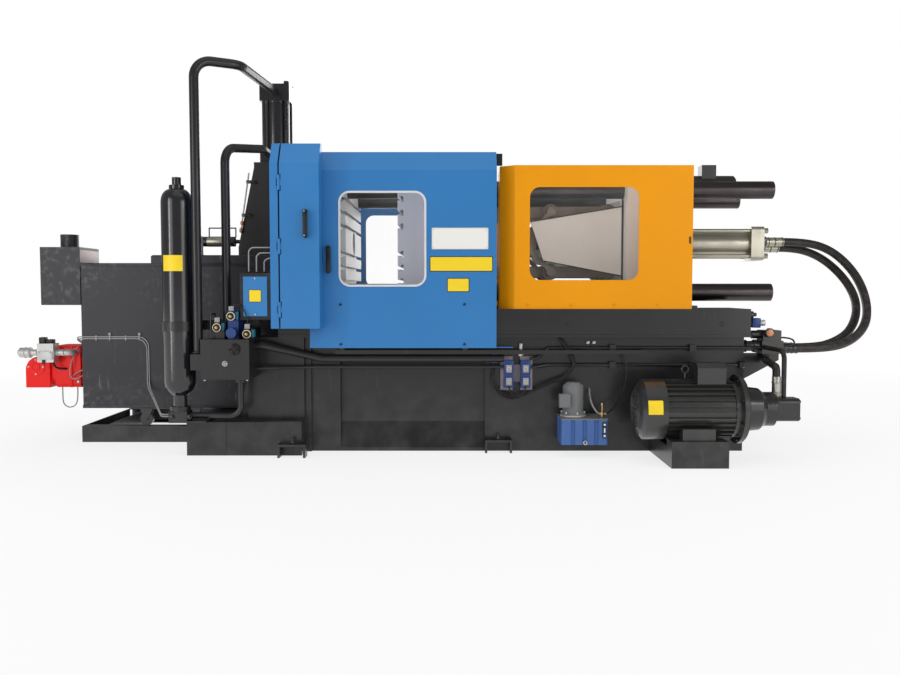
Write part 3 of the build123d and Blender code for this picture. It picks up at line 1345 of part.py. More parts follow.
def platen_body(x_range, slots_on=None):
    """Add a platen with its shoes and tie bar bores, and T-slots in the face that looks along slots_on."""
    half_bar = BAR_PITCH / 2
    with BuildSketch(Plane.YZ.offset(x_range[0])) as outline:
        with Locations((0, AXIS_HEIGHT)):
            RectangleRounded(2 * PLATEN_HALF_WIDTH, 2 * PLATEN_HALF_HEIGHT, PLATEN_EDGE)
        shoe_height = AXIS_HEIGHT - PLATEN_HALF_HEIGHT + PLATEN_EDGE - bed_top
        shoe_z = bed_top + shoe_height / 2
        for side in (-1, 1):
            with Locations((side * (PLATEN_HALF_WIDTH - SHOE_WIDTH / 2), shoe_z)):
                Rectangle(SHOE_WIDTH, shoe_height)
        for y, z in ((-1, -1), (-1, 1), (1, -1), (1, 1)):
            with Locations((y * half_bar, AXIS_HEIGHT + z * half_bar)):
                Circle(BAR_RADIUS + FIT, mode=Mode.SUBTRACT)
    extrude(outline.sketch, amount=x_range[1] - x_range[0])
    if slots_on:
        face = x_range[1] if slots_on > 0 else x_range[0]
        for index in (-3, -2, -1, 1, 2, 3):
            slot_z = AXIS_HEIGHT + index * SLOT_PITCH
            throat = face - slots_on * (SLOT_DEPTH - SLOT_HEAD_DEPTH)
            floor = face - slots_on * SLOT_DEPTH
            prism(
                Plane.XZ.offset(PLATEN_HALF_WIDTH),
                [
                    (face, slot_z - SLOT_NECK / 2),
                    (throat, slot_z - SLOT_NECK / 2),
                    (throat, slot_z - SLOT_HEAD / 2),
                    (floor, slot_z - SLOT_HEAD / 2),
                    (floor, slot_z + SLOT_HEAD / 2),
                    (throat, slot_z + SLOT_HEAD / 2),
                    (throat, slot_z + SLOT_NECK / 2),
                    (face, slot_z + SLOT_NECK / 2),
                ],
                -2 * PLATEN_HALF_WIDTH,
                mode=Mode.SUBTRACT,
            )


def pin_lug(root_x, tip_x, pin_z, y_range):
    """Add a lug that carries a toggle pin, from a platen face to the pin and round it."""
    reach = 1 if tip_x > root_x else -1
    with BuildSketch(Plane.XZ.offset(-y_range[1])) as outline:
        with BuildLine():
            Polyline(
                (tip_x, pin_z - LINK_RADIUS),
                (root_x, pin_z - LINK_RADIUS * 1.5),
                (root_x, pin_z + LINK_RADIUS * 1.5),
                (tip_x, pin_z + LINK_RADIUS),
            )
            ThreePointArc(
                (tip_x, pin_z + LINK_RADIUS),
                (tip_x + reach * LINK_RADIUS, pin_z),
                (tip_x, pin_z - LINK_RADIUS),
            )
        make_face()
        with Locations((tip_x, pin_z)):
            Circle(PIN_RADIUS + FIT, mode=Mode.SUBTRACT)
    extrude(outline.sketch, amount=y_range[1] - y_range[0])


def dog_bone(start, end, radius, neck, y_range):
    """Add a flat link with round eyes between two pin centres given as (x, z)."""
    run = Vector(end[0] - start[0], 0, end[1] - start[1])
    turn = degrees(atan2(run.Z, run.X))
    middle = ((start[0] + end[0]) / 2, (start[1] + end[1]) / 2)
    with BuildSketch(Plane.XZ.offset(-y_range[1])) as outline:
        with Locations(start, end):
            Circle(radius)
        with Locations(Location((middle[0], middle[1], 0), (0, 0, turn))):
            Rectangle(run.length, neck)
    extrude(outline.sketch, amount=y_range[1] - y_range[0])


def eye_bore(center, radius, y_range):
    """Bore a pin hole along Y through the part being built."""
    rod((center[0], y_range[0], center[1]), (center[0], y_range[1], center[1]), radius, mode=Mode.SUBTRACT)


# Platens: fixed with the sprue opening, moving with its front lugs, rear with its lugs
fixed_x = (FIXED_FACE - FIXED_THICKNESS, FIXED_FACE)
moving_x = (FIXED_FACE + DIE_GAP, FIXED_FACE + DIE_GAP + MOVING_THICKNESS)
rear_x = (REAR_FACE, REAR_FACE + REAR_THICKNESS)
platen_pin_x = moving_x[1] + LUG_REACH
rear_pin_x = rear_x[0] - LUG_REACH
pin_heights = (AXIS_HEIGHT - KNEE_RISE, AXIS_HEIGHT + KNEE_RISE)
leaf_inner = LINK_THICKNESS / 2 + FIT
leaf_outer = leaf_inner + REAR_LEAF
with BuildPart() as fixed_platen:
    platen_body(fixed_x, slots_on=1)
    rod((fixed_x[0], 0, AXIS_HEIGHT), (fixed_x[1], 0, AXIS_HEIGHT), SPRUE_RADIUS, mode=Mode.SUBTRACT)
finish(fixed_platen, "fixed_platen")

with BuildPart() as moving_platen:
    platen_body(moving_x, slots_on=-1)
    for side in (-1, 1):
        for pin_z in pin_heights:
            for inner in (leaf_inner, -leaf_outer):
                low = side * LINK_Y + inner
                pin_lug(moving_x[1], platen_pin_x, pin_z, (low, low + REAR_LEAF))
finish(moving_platen, "moving_platen")

with BuildPart() as rear_platen:
    platen_body(rear_x)
    rod_bore = ((rear_x[0], 0, AXIS_HEIGHT), (rear_x[1], 0, AXIS_HEIGHT))
    rod(*rod_bore, CLAMP_ROD_RADIUS + FIT, mode=Mode.SUBTRACT)
    for side in (-1, 1):
        for pin_z in pin_heights:
            middle = side * LINK_Y
            lug_y = (middle - LINK_THICKNESS / 2, middle + LINK_THICKNESS / 2)
            pin_lug(rear_x[0], rear_pin_x, pin_z, lug_y)
finish(rear_platen, "rear_platen")

# Lower door rail on brackets from the tank, and upper guide rail inside the door's hook
rail_top = roller_z - ROLLER_RADIUS - FIT
rail_bottom = rail_top - DOOR_RAIL_HEIGHT
rail_start = roller_spots[0] - 2 * ROLLER_RADIUS
rail_end = roller_spots[1] + DOOR_TRAVEL + 2 * ROLLER_RADIUS
platen_top = AXIS_HEIGHT + PLATEN_HALF_HEIGHT
with BuildPart() as door_rails:
    rail_y = (roller_y - RAIL_THICKNESS / 2, roller_y + RAIL_THICKNESS / 2)
    block((rail_start, rail_end), rail_y, (rail_bottom, rail_top))
    bracket_count = int((rail_end - rail_start - 2 * PLATE) // DOOR_BRACKET_PITCH)
    for index in range(bracket_count + 1):
        bracket_x = rail_start + PLATE + index * DOOR_BRACKET_PITCH
        in_panel = panel_left - PLATE < bracket_x < panel_left + PANEL_LENGTH
        bracket_back = -panel_back if in_panel else -TANK_HALF_DEPTH
        block((bracket_x, bracket_x + PLATE), (rail_y[1], bracket_back), (rail_bottom, rail_top - RUN))
    guide_y = ((door_slope_y + hook_y - RAIL_THICKNESS) / 2, (door_slope_y + hook_y + RAIL_THICKNESS) / 2)
    guide_z = (GUARD_TOP, DOOR_TOP - SHEET - RUN)
    block((beam_left, GUARD_LEFT + SHEET + PLATE), guide_y, guide_z)
    arm_x = fixed_x[0] + PLATEN_EDGE
    arm_y = (guide_y[0], -PLATEN_HALF_WIDTH + 4 * PLATEN_EDGE)
    block((arm_x, arm_x + 2 * RAIL_THICKNESS), arm_y, (platen_top, platen_top + 2 * RAIL_THICKNESS))
finish(door_rails, "door_rails")

# Tie bars with their nuts behind the fixed platen
bar_left = fixed_x[0] - BAR_NUT_LENGTH - BAR_TAIL
with BuildPart() as tie_bars:
    for y in (-BAR_PITCH / 2, BAR_PITCH / 2):
        for z in (AXIS_HEIGHT - BAR_PITCH / 2, AXIS_HEIGHT + BAR_PITCH / 2):
            rod((bar_left, y, z), (BAR_RIGHT, y, z), BAR_RADIUS)
            rod((fixed_x[0] - BAR_NUT_LENGTH, y, z), (fixed_x[0], y, z), BAR_NUT_RADIUS)
finish(tie_bars, "tie_bars")

# Front links carry the platen and knee pins
pin_half = leaf_outer + FIT
with BuildPart() as toggle_links:
    for side in (-1, 1):
        link_y = (side * LINK_Y - LINK_THICKNESS / 2, side * LINK_Y + LINK_THICKNESS / 2)
        for pin_z in pin_heights:
            dog_bone((platen_pin_x, pin_z), (KNEE_X, pin_z), LINK_RADIUS - RUN, LINK_NECK, link_y)
            for pin_x in (platen_pin_x, KNEE_X):
                rod(
                    (pin_x, side * LINK_Y - pin_half, pin_z),
                    (pin_x, side * LINK_Y + pin_half, pin_z),
                    PIN_RADIUS,
                )
    # Rear links are pairs of leaves round the knee, with the rear pin through them
    for side in (-1, 1):
        for pin_z in pin_heights:
            for inner in (leaf_inner, -leaf_outer):
                low = side * LINK_Y + inner
                leaf_y = (low, low + REAR_LEAF)
                dog_bone((KNEE_X, pin_z), (rear_pin_x, pin_z), LINK_RADIUS, LINK_NECK, leaf_y)
                eye_bore((KNEE_X, pin_z), PIN_RADIUS + FIT, leaf_y)
            rod(
                (rear_pin_x, side * LINK_Y - pin_half, pin_z),
                (rear_pin_x, side * LINK_Y + pin_half, pin_z),
                PIN_RADIUS,
            )
finish(toggle_links, "toggle_links")

# Crosshead on the clamp rod, with its drive pins
drive_y = (DRIVE_LINK_Y - DRIVE_LINK_THICKNESS / 2, DRIVE_LINK_Y + DRIVE_LINK_THICKNESS / 2)
crosshead_half = drive_y[0] - FIT
crosshead_x = (CROSSHEAD_X - CROSSHEAD_WIDTH / 2, CROSSHEAD_X + CROSSHEAD_WIDTH / 2)
with BuildPart() as crosshead:
    with BuildSketch(Plane.XZ.offset(crosshead_half)):
        with Locations((CROSSHEAD_X, AXIS_HEIGHT)):
            RectangleRounded(CROSSHEAD_WIDTH, CROSSHEAD_HEIGHT, CROSSHEAD_WIDTH / 5)
    extrude(amount=-2 * crosshead_half)
    for rise in (-CROSSHEAD_PIN_RISE, CROSSHEAD_PIN_RISE):
        rod(
            (CROSSHEAD_X, -drive_y[1] - FIT, AXIS_HEIGHT + rise),
            (CROSSHEAD_X, drive_y[1] + FIT, AXIS_HEIGHT + rise),
            DRIVE_PIN_RADIUS,
        )
    rod((crosshead_x[1], 0, AXIS_HEIGHT), (rear_x[1], 0, AXIS_HEIGHT), CLAMP_ROD_RADIUS)
    # Drive links from the crosshead to the knee pins
    for side in (-1, 1):
        for sign, pin_z in zip((-1, 1), pin_heights):
            link_y = tuple(sorted((side * drive_y[0], side * drive_y[1])))
            start = (CROSSHEAD_X, AXIS_HEIGHT + sign * CROSSHEAD_PIN_RISE)
            knee = (KNEE_X, pin_z)
            dog_bone(start, knee, DRIVE_LINK_RADIUS, DRIVE_LINK_RADIUS, link_y)
            eye_bore(start, DRIVE_PIN_RADIUS + FIT, link_y)
            stem = sorted((side * (LINK_Y + pin_half), side * drive_y[0]))
            rod((KNEE_X, stem[0], pin_z), (KNEE_X, stem[1], pin_z), DRIVE_PIN_RADIUS)
finish(crosshead, "crosshead")

# Tapered cheeks on the rear platen beside the toggle
cheek_y = (CHEEK_Y - CHEEK_THICKNESS / 2, CHEEK_Y + CHEEK_THICKNESS / 2)
with BuildPart() as toggle_cheeks:
    for side in (-1, 1):
        prism(
            Plane.XZ.offset(cheek_y[1] if side < 0 else -cheek_y[0]),
            [
                (rear_x[0], AXIS_HEIGHT - CHEEK_ROOT / 2),
                (rear_x[0], AXIS_HEIGHT + CHEEK_ROOT / 2),
                (rear_x[0] - CHEEK_LENGTH, AXIS_HEIGHT + CHEEK_TIP / 2),
                (rear_x[0] - CHEEK_LENGTH + CHEEK_TIP / 3, AXIS_HEIGHT - CHEEK_TIP / 2),
            ],
            -CHEEK_THICKNESS,
        )
finish(toggle_cheeks, "toggle_cheeks")

# Gear cover over the die-height nuts, round the clamp cylinder's head
gear_x = (rear_x[1], rear_x[1] + GEAR_COVER_THICKNESS)
with BuildPart() as gear_cover:
    with BuildSketch(Plane.YZ.offset(gear_x[0])):
        with Locations((0, AXIS_HEIGHT)):
            RectangleRounded(2 * GEAR_COVER_HALF, 2 * GEAR_COVER_HALF, BAR_NUT_RADIUS)
            Rectangle(CLAMP_HEAD + 2 * FIT, CLAMP_HEAD + 2 * FIT, mode=Mode.SUBTRACT)
            with GridLocations(BAR_PITCH, BAR_PITCH, 2, 2):
                Circle(BAR_RADIUS + FIT, mode=Mode.SUBTRACT)
    extrude(amount=GEAR_COVER_THICKNESS)
finish(gear_cover, "gear_cover")

# Clamp cylinder with its heads, tie rods, nuts and hose ferrules
clamp_head_x = (rear_x[1], rear_x[1] + CLAMP_HEAD_LENGTH)
clamp_cap_x = (clamp_head_x[1] + CLAMP_LENGTH, clamp_head_x[1] + CLAMP_LENGTH + CLAMP_CAP_LENGTH)
with BuildPart() as clamp_cylinder:
    with BuildSketch(Plane.YZ.offset(clamp_head_x[0])):
        with Locations((0, AXIS_HEIGHT)):
            Rectangle(CLAMP_HEAD, CLAMP_HEAD)
    extrude(amount=CLAMP_HEAD_LENGTH)
    with BuildSketch(Plane.YZ.offset(clamp_head_x[1])):
        with Locations((0, AXIS_HEIGHT)):
            Circle(CLAMP_RADIUS)
            with GridLocations(CLAMP_TIE_PITCH, CLAMP_TIE_PITCH, 2, 2):
                Circle(CLAMP_TIE_RADIUS)
    extrude(amount=CLAMP_LENGTH)
    with BuildSketch(Plane.YZ.offset(clamp_cap_x[0])):
        with Locations((0, AXIS_HEIGHT)):
            RectangleRounded(CLAMP_CAP, CLAMP_CAP, CLAMP_CAP_CORNER)
    extrude(amount=CLAMP_CAP_LENGTH)
    with BuildSketch(Plane.YZ.offset(clamp_cap_x[1])):
        with Locations((0, AXIS_HEIGHT)):
            with GridLocations(CLAMP_TIE_PITCH, CLAMP_TIE_PITCH, 2, 2):
                RegularPolygon(CLAMP_NUT_RADIUS, 6)
    extrude(amount=CLAMP_NUT_LENGTH)
    hose_start_x = clamp_cap_x[1] + CLAMP_FERRULE_LENGTH
    outer_port = (OUTER_PORT[0], AXIS_HEIGHT + OUTER_PORT[1])
    inner_port = (INNER_PORT[0], AXIS_HEIGHT + INNER_PORT[1])
    for port in (outer_port, inner_port):
        rod((clamp_cap_x[1], *port), (hose_start_x, *port), FERRULE_RADIUS)
finish(clamp_cylinder, "clamp_cylinder")

# Die-height motor on the gear cover, with its connection box
motor_z = AXIS_HEIGHT + HEIGHT_MOTOR_RISE
with BuildPart() as die_height_motor:
    turned(
        (gear_x[1], HEIGHT_MOTOR_Y, motor_z),
        (1, 0, 0),
        [
            (0, 0),
            (0, HEIGHT_MOTOR_RADIUS * 0.5),
            (HEIGHT_MOTOR_RADIUS, HEIGHT_MOTOR_RADIUS * 0.5),
            (HEIGHT_MOTOR_RADIUS, HEIGHT_MOTOR_RADIUS),
            (HEIGHT_MOTOR_LENGTH - PLATE, HEIGHT_MOTOR_RADIUS),
            (HEIGHT_MOTOR_LENGTH, HEIGHT_MOTOR_RADIUS - PLATE),
            (HEIGHT_MOTOR_LENGTH, 0),
        ],
    )
    block(
        (gear_x[1] + HEIGHT_BOX_START, gear_x[1] + HEIGHT_BOX_START + HEIGHT_BOX),
        (HEIGHT_MOTOR_Y - HEIGHT_BOX / 2, HEIGHT_MOTOR_Y + HEIGHT_BOX / 2),
        (motor_z, motor_z + HEIGHT_MOTOR_RADIUS + HEIGHT_BOX_HEIGHT),
    )
finish(die_height_motor, "die_height_motor")

# Motor base: a box with a trough under the motor's belly
base_left = MOTOR_LEFT + MOTOR_BASE_LEFT
motor_base_x = (base_left, base_left + MOTOR_BASE_LENGTH)
fin_radius = STATOR_RADIUS + FIN_HEIGHT
with BuildPart() as motor_base:
    trough_half = MOTOR_FOOT_PITCH / 2 - MOTOR_FOOT_WIDTH / 2 - PLATE
    trough_floor = MOTOR_AXIS - fin_radius - 2 * PLATE
    with BuildSketch(Plane.YZ.offset(motor_base_x[0])):
        with BuildLine():
            Polyline(
                (-MOTOR_BASE_FRONT, 0),
                (-TANK_HALF_DEPTH, 0),
                (-TANK_HALF_DEPTH, MOTOR_BASE_HEIGHT),
                (MOTOR_Y + trough_half, MOTOR_BASE_HEIGHT),
                (MOTOR_Y + trough_half, trough_floor),
                (MOTOR_Y - trough_half, trough_floor),
                (MOTOR_Y - trough_half, MOTOR_BASE_HEIGHT),
                (-MOTOR_BASE_FRONT, MOTOR_BASE_HEIGHT),
                close=True,
            )
        make_face()
    extrude(amount=MOTOR_BASE_LENGTH)
finish(motor_base, "motor_base")

# Pump motor: fan cowl, finned stator, end bell, flange, feet and terminal box
cowl_right = MOTOR_LEFT + COWL_LENGTH
stator_right = cowl_right + STATOR_LENGTH
bell_right = stator_right + BELL_END_LENGTH
flange_right = bell_right + FLANGE_THICKNESS
with BuildPart() as pump_motor:
    with BuildSketch(Plane.YZ.offset(cowl_right)):
        with Locations((MOTOR_Y, MOTOR_AXIS)):
            Circle(STATOR_RADIUS)
            with PolarLocations(STATOR_RADIUS + FIN_HEIGHT / 2 - RUN / 2, FIN_COUNT):
                Rectangle(FIN_HEIGHT + RUN, FIN_THICKNESS)
    extrude(amount=STATOR_LENGTH)
    turned(
        (stator_right, MOTOR_Y, MOTOR_AXIS),
        (1, 0, 0),
        [
            (0, 0),
            (0, BELL_END_RADIUS),
            (BELL_END_LENGTH, BELL_END_RADIUS),
            (BELL_END_LENGTH, FLANGE_RADIUS),
            (BELL_END_LENGTH + FLANGE_THICKNESS, FLANGE_RADIUS),
            (BELL_END_LENGTH + FLANGE_THICKNESS, 0),
        ],
    )
    foot_x = sum(motor_base_x) / 2
    for side in (-1, 1):
        foot_y = MOTOR_Y + side * MOTOR_FOOT_PITCH / 2
        block(
            (foot_x - MOTOR_FOOT_LENGTH / 2, foot_x + MOTOR_FOOT_LENGTH / 2),
            (foot_y - MOTOR_FOOT_WIDTH / 2, foot_y + MOTOR_FOOT_WIDTH / 2),
            (MOTOR_BASE_HEIGHT, MOTOR_BASE_HEIGHT + MOTOR_FOOT_THICKNESS),
        )
    turned(
        (MOTOR_LEFT, MOTOR_Y, MOTOR_AXIS),
        (1, 0, 0),
        [
            (0, 0),
            (0, COWL_RADIUS - 1.5 * COWL_NOSE),
            (COWL_NOSE * 0.4, COWL_RADIUS - COWL_NOSE * 0.7),
            (COWL_NOSE, COWL_RADIUS),
            (COWL_LENGTH, COWL_RADIUS),
            (COWL_LENGTH, 0),
        ],
    )
    terminal_left = stator_right - TERMINAL_SETBACK - TERMINAL_LENGTH
    terminal_y = (MOTOR_Y - TERMINAL_WIDTH / 2, MOTOR_Y + TERMINAL_WIDTH / 2)
    terminal_z = (MOTOR_AXIS + STATOR_RADIUS / 2, MOTOR_AXIS + fin_radius + TERMINAL_HEIGHT)
    prism(
        Plane.YZ.offset(terminal_left),
        [
            (terminal_y[0], terminal_z[0]),
            (terminal_y[1], terminal_z[0]),
            (terminal_y[1], terminal_z[1] - TERMINAL_CHAMFER),
            (terminal_y[1] - TERMINAL_CHAMFER, terminal_z[1]),
            (terminal_y[0] + TERMINAL_CHAMFER, terminal_z[1]),
            (terminal_y[0], terminal_z[1] - TERMINAL_CHAMFER),
        ],
        TERMINAL_LENGTH,
    )
finish(pump_motor, "pump_motor")

# Bell housing between motor and pump, and the pump
lantern_right = flange_right + LANTERN_LENGTH
with BuildPart() as hydraulic_pump:
    turned(
        (flange_right, MOTOR_Y, MOTOR_AXIS),
        (1, 0, 0),
        [
            (0, 0),
            (0, FLANGE_RADIUS - PLATE),
            (PLATE, FLANGE_RADIUS - PLATE),
            (PLATE, LANTERN_RADIUS),
            (LANTERN_LENGTH * 0.55, LANTERN_RADIUS - PLATE),
            (LANTERN_LENGTH * 0.7, LANTERN_NOSE_RADIUS),
            (LANTERN_LENGTH, LANTERN_NOSE_RADIUS),
            (LANTERN_LENGTH, 0),
        ],
    )
    with BuildSketch(Plane.YZ.offset(lantern_right)):
        with Locations((MOTOR_Y, MOTOR_AXIS)):
            RectangleRounded(PUMP_SIDE, PUMP_SIDE, PUMP_SIDE / 5)
    extrude(amount=PUMP_LENGTH)
    with BuildSketch(Plane.YZ.offset(lantern_right)):
        with Locations((MOTOR_Y, MOTOR_AXIS)):
            Rectangle(PUMP_SIDE + 4 * PLATE, PUMP_SIDE * 0.7)
    extrude(amount=2 * PLATE)
finish(hydraulic_pump, "hydraulic_pump")

# Lubrication unit: fluted tank on a bracket, with its upright motor
lube_x = (LUBE_LEFT, LUBE_LEFT + LUBE_LENGTH)
lube_y = (-TANK_HALF_DEPTH - LUBE_BRACKET - LUBE_DEPTH, -TANK_HALF_DEPTH - LUBE_BRACKET)
lube_z = (LUBE_BOTTOM, LUBE_BOTTOM + LUBE_HEIGHT)
with BuildPart() as lube_tank:
    block(lube_x, lube_y, lube_z)
    fillet(lube_tank.edges().filter_by(Axis.Z), radius=16)
    with BuildSketch(Plane.XY.offset(lube_z[0])):
        for share in (0.25, 0.5, 0.75):
            with Locations((lube_x[0] + share * LUBE_LENGTH, lube_y[0])):
                Circle(LUBE_FLUTE)
    extrude(amount=LUBE_HEIGHT, mode=Mode.SUBTRACT)
    block(
        (lube_x[0] + LUBE_FLUTE, lube_x[1] - LUBE_FLUTE),
        (lube_y[1], -TANK_HALF_DEPTH),
        (lube_z[0], lube_z[1] - LUBE_FLUTE),
    )
finish(lube_tank, "lube_tank")

lid_top = lube_z[1] + LUBE_LID
lube_motor_x = lube_x[0] + LUBE_LENGTH * 0.3
lube_motor_y = sum(lube_y) / 2
with BuildPart() as lube_motor:
    block(lube_x, lube_y, (lube_z[1], lid_top))
    turned(
        (lube_motor_x, lube_motor_y, lid_top),
        (0, 0, 1),
        [
            (0, 0),
            (0, LUBE_FLANGE_RADIUS),
            (LUBE_FLANGE_HEIGHT, LUBE_FLANGE_RADIUS),
            (LUBE_FLANGE_HEIGHT + PLATE, LUBE_MOTOR_RADIUS),
            (LUBE_FLANGE_HEIGHT + LUBE_MOTOR_HEIGHT, LUBE_MOTOR_RADIUS),
            (LUBE_FLANGE_HEIGHT + LUBE_MOTOR_HEIGHT + 2 * PLATE, LUBE_MOTOR_RADIUS * 0.6),
            (LUBE_FLANGE_HEIGHT + LUBE_MOTOR_HEIGHT + 2 * PLATE, 0),
        ],
    )
finish(lube_motor, "lube_motor")

# Valve pair on the tank front: an H-shaped plate with two upright valves
pair_x = (PAIR_LEFT, PAIR_LEFT + PAIR_WIDTH)
pair_z = (PAIR_BOTTOM, PAIR_BOTTOM + PAIR_HEIGHT)
pair_mid = (sum(pair_x) / 2, sum(pair_z) / 2)
pair_front = TANK_HALF_DEPTH + PAIR_PLATE
with BuildPart() as valve_pair_plate:
    with BuildSketch(front_plane(TANK_HALF_DEPTH)):
        with Locations(pair_mid):
            Rectangle(PAIR_WIDTH, PAIR_HEIGHT)
            for side in (-1, 1):
                with Locations((0, side * PAIR_HEIGHT / 2)):
                    Rectangle(PAIR_PITCH - PAIR_VALVE_WIDTH, PAIR_HEIGHT / 2, mode=Mode.SUBTRACT)
    extrude(amount=PAIR_PLATE)
finish(valve_pair_plate, "valve_pair_plate")

with BuildPart() as valve_pair:
    with BuildSketch(front_plane(pair_front)):
        with Locations(pair_mid):
            with GridLocations(PAIR_PITCH, PAIR_HEIGHT, 2, 1):
                Rectangle(PAIR_VALVE_WIDTH, PAIR_HEIGHT - 4 * PLATE)
    extrude(amount=PAIR_VALVE_DEPTH)
finish(valve_pair, "valve_pair")

# End manifold on its bracket, with its valve, gauge and hose ferrules, at the tank's right end
bracket_right = tank_right + END_BRACKET_REACH
end_x = (bracket_right - END_BLOCK_LENGTH, bracket_right)
end_y = (-TANK_HALF_DEPTH, -TANK_HALF_DEPTH + END_BLOCK_DEPTH)
end_bottom = TANK_HEIGHT - END_BLOCK_HEIGHT - FOOT_WALL - PLATE
end_top = end_bottom + END_BLOCK_HEIGHT
with BuildPart() as end_manifold:
    prism(
        Plane.XZ.offset(-sum(end_y) / 2 - END_BRACKET_THICKNESS / 2),
        [
            (tank_right, end_bottom - END_BRACKET_HEIGHT),
            (tank_right, end_bottom),
            (bracket_right, end_bottom),
            (bracket_right, end_bottom - END_BRACKET_HEIGHT / 4),
        ],
        END_BRACKET_THICKNESS,
    )
    block(end_x, end_y, (end_bottom, end_top))
    valve_x = (end_x[0] + PLATE, end_x[1] - PLATE)
    valve_y = (end_y[0] + PLATE, end_y[1] - 4 * PLATE)
    block(valve_x, valve_y, (end_top, end_top + VALVE_HEIGHT * 0.75))
    coil_z = end_top + COIL_RADIUS + PLATE
    coil_y = sum(valve_y) / 2
    rod((valve_x[0], coil_y, coil_z), (valve_x[0] - COIL_LENGTH, coil_y, coil_z), COIL_RADIUS)
    gauge_x = valve_x[0] + 1.3 * COIL_RADIUS
    gauge_z = end_top + 2 * COIL_RADIUS - FIT
    rod((gauge_x, valve_y[0], gauge_z), (gauge_x, valve_y[0] - 2 * PLATE, gauge_z), COIL_RADIUS)
    hose_end_x = end_x[1] + FERRULE_LENGTH
    outer_end = (end_y[0] + OUTER_END[0], end_bottom + OUTER_END[1])
    inner_end = (end_y[0] + INNER_END[0], end_bottom + INNER_END[1])
    for port in (outer_end, inner_end):
        rod((end_x[1], *port), (hose_end_x, *port), FERRULE_RADIUS)
finish(end_manifold, "end_manifold")

# Pump lines: a thick hose from under the end manifold, and a thin one from its front
suction_x = lantern_right + SUPPLY_RADIUS + FIT
suction_top = (end_x[0] + SUPPLY_RADIUS + PLATE, end_y[0] + SUPPLY_RADIUS + PLATE)
suction_z = end_bottom - 1.8 * SUPPLY_RADIUS
elbow_z = end_bottom - 2.5 * SUPPLY_RADIUS
pump_top = MOTOR_AXIS + PUMP_SIDE / 2
pressure_x = suction_x + SUPPLY_RADIUS + 1.6 * PRESSURE_RADIUS
pressure_y = end_y[0] + SUPPLY_RADIUS
pressure_z = end_bottom + END_BLOCK_HEIGHT / 2
with BuildPart() as pump_lines:
    pipe(
        [
            (*suction_top, end_bottom),
            (*suction_top, suction_z),
            (suction_x, MOTOR_Y, elbow_z),
            (suction_x, MOTOR_Y, pump_top),
        ],
        SUPPLY_RADIUS,
        1.6 * SUPPLY_RADIUS,
    )
    pipe(
        [
            (pressure_x, MOTOR_Y, pump_top),
            (pressure_x, MOTOR_Y, pressure_z),
            (pressure_x, end_y[0], pressure_z),
        ],
        PRESSURE_RADIUS,
        4 * PRESSURE_RADIUS,
    )
finish(pump_lines, "pump_lines")

# Pipes along the base front, with their clamps
pair_valve_left = pair_mid[0] - PAIR_PITCH / 2 - PAIR_VALVE_WIDTH / 2
pair_valve_right = pair_mid[0] + PAIR_PITCH / 2 + PAIR_VALVE_WIDTH / 2
supply_y = -TANK_HALF_DEPTH - POST_DEPTH - SUPPLY_RADIUS - SHEET
supply_z = rail_bottom - RUN - SUPPLY_RADIUS
supply_start = (manifold_y[1] - 4 * SUPPLY_RADIUS, manifold_z[1] - 2 * SUPPLY_RADIUS)
control_z = supply_z - SUPPLY_RADIUS - 3 * SERVICE_RADIUS
control_start = (supply_start[0], control_z)
service_y = -TANK_HALF_DEPTH - PIPE_CLAMP / 2
upper_z = rail_top + PLATE
lower_z = control_z + SERVICE_RADIUS
lower_end = tank_right - 4 * SERVICE_RADIUS
with BuildPart() as base_pipes:
    left_runs = ((supply_start, supply_z, SUPPLY_RADIUS), (control_start, control_z, SERVICE_RADIUS))
    for (start_y, start_z), run_z, radius in left_runs:
        pipe(
            [
                (manifold_x[1], start_y, start_z),
                (manifold_x[1] + 2 * SUPPLY_RADIUS, start_y, start_z),
                (rail_start - 4 * SUPPLY_RADIUS, supply_y, run_z),
                (pair_valve_left, supply_y, run_z),
            ],
            radius,
            4 * SUPPLY_RADIUS,
        )
    pipe(
        [
            (pair_valve_right, supply_y, supply_z),
            (pair_x[1] + PAIR_WIDTH / 8, supply_y, supply_z),
            (pair_x[1] + PAIR_WIDTH / 2, service_y, upper_z),
            (beam_right, service_y, upper_z),
            (end_x[0] - 2 * SERVICE_RADIUS, pressure_y, upper_z),
            (end_x[0], pressure_y, upper_z),
        ],
        SERVICE_RADIUS,
        2 * SERVICE_RADIUS,
    )
    pipe(
        [
            (pair_valve_right, supply_y, control_z),
            (pair_x[1] + PAIR_WIDTH / 8, supply_y, control_z),
            (pair_x[1] + PAIR_WIDTH / 2, service_y, lower_z),
            (lower_end, service_y, lower_z),
            (lower_end, -TANK_HALF_DEPTH, lower_z),
        ],
        SERVICE_RADIUS,
        SERVICE_RADIUS * 1.5,
    )
    for share in (2.5, 5):
        clamp_x = pair_x[1] + share * PAIR_WIDTH
        clamp_range = (clamp_x - PIPE_CLAMP / 2, clamp_x + PIPE_CLAMP / 2)
        for clamp_height in (upper_z, lower_z):
            height_range = (clamp_height - 2 * SERVICE_RADIUS, clamp_height + 2 * SERVICE_RADIUS)
            block(clamp_range, (-TANK_HALF_DEPTH - PIPE_CLAMP, -TANK_HALF_DEPTH), height_range)
finish(base_pipes, "base_pipes")

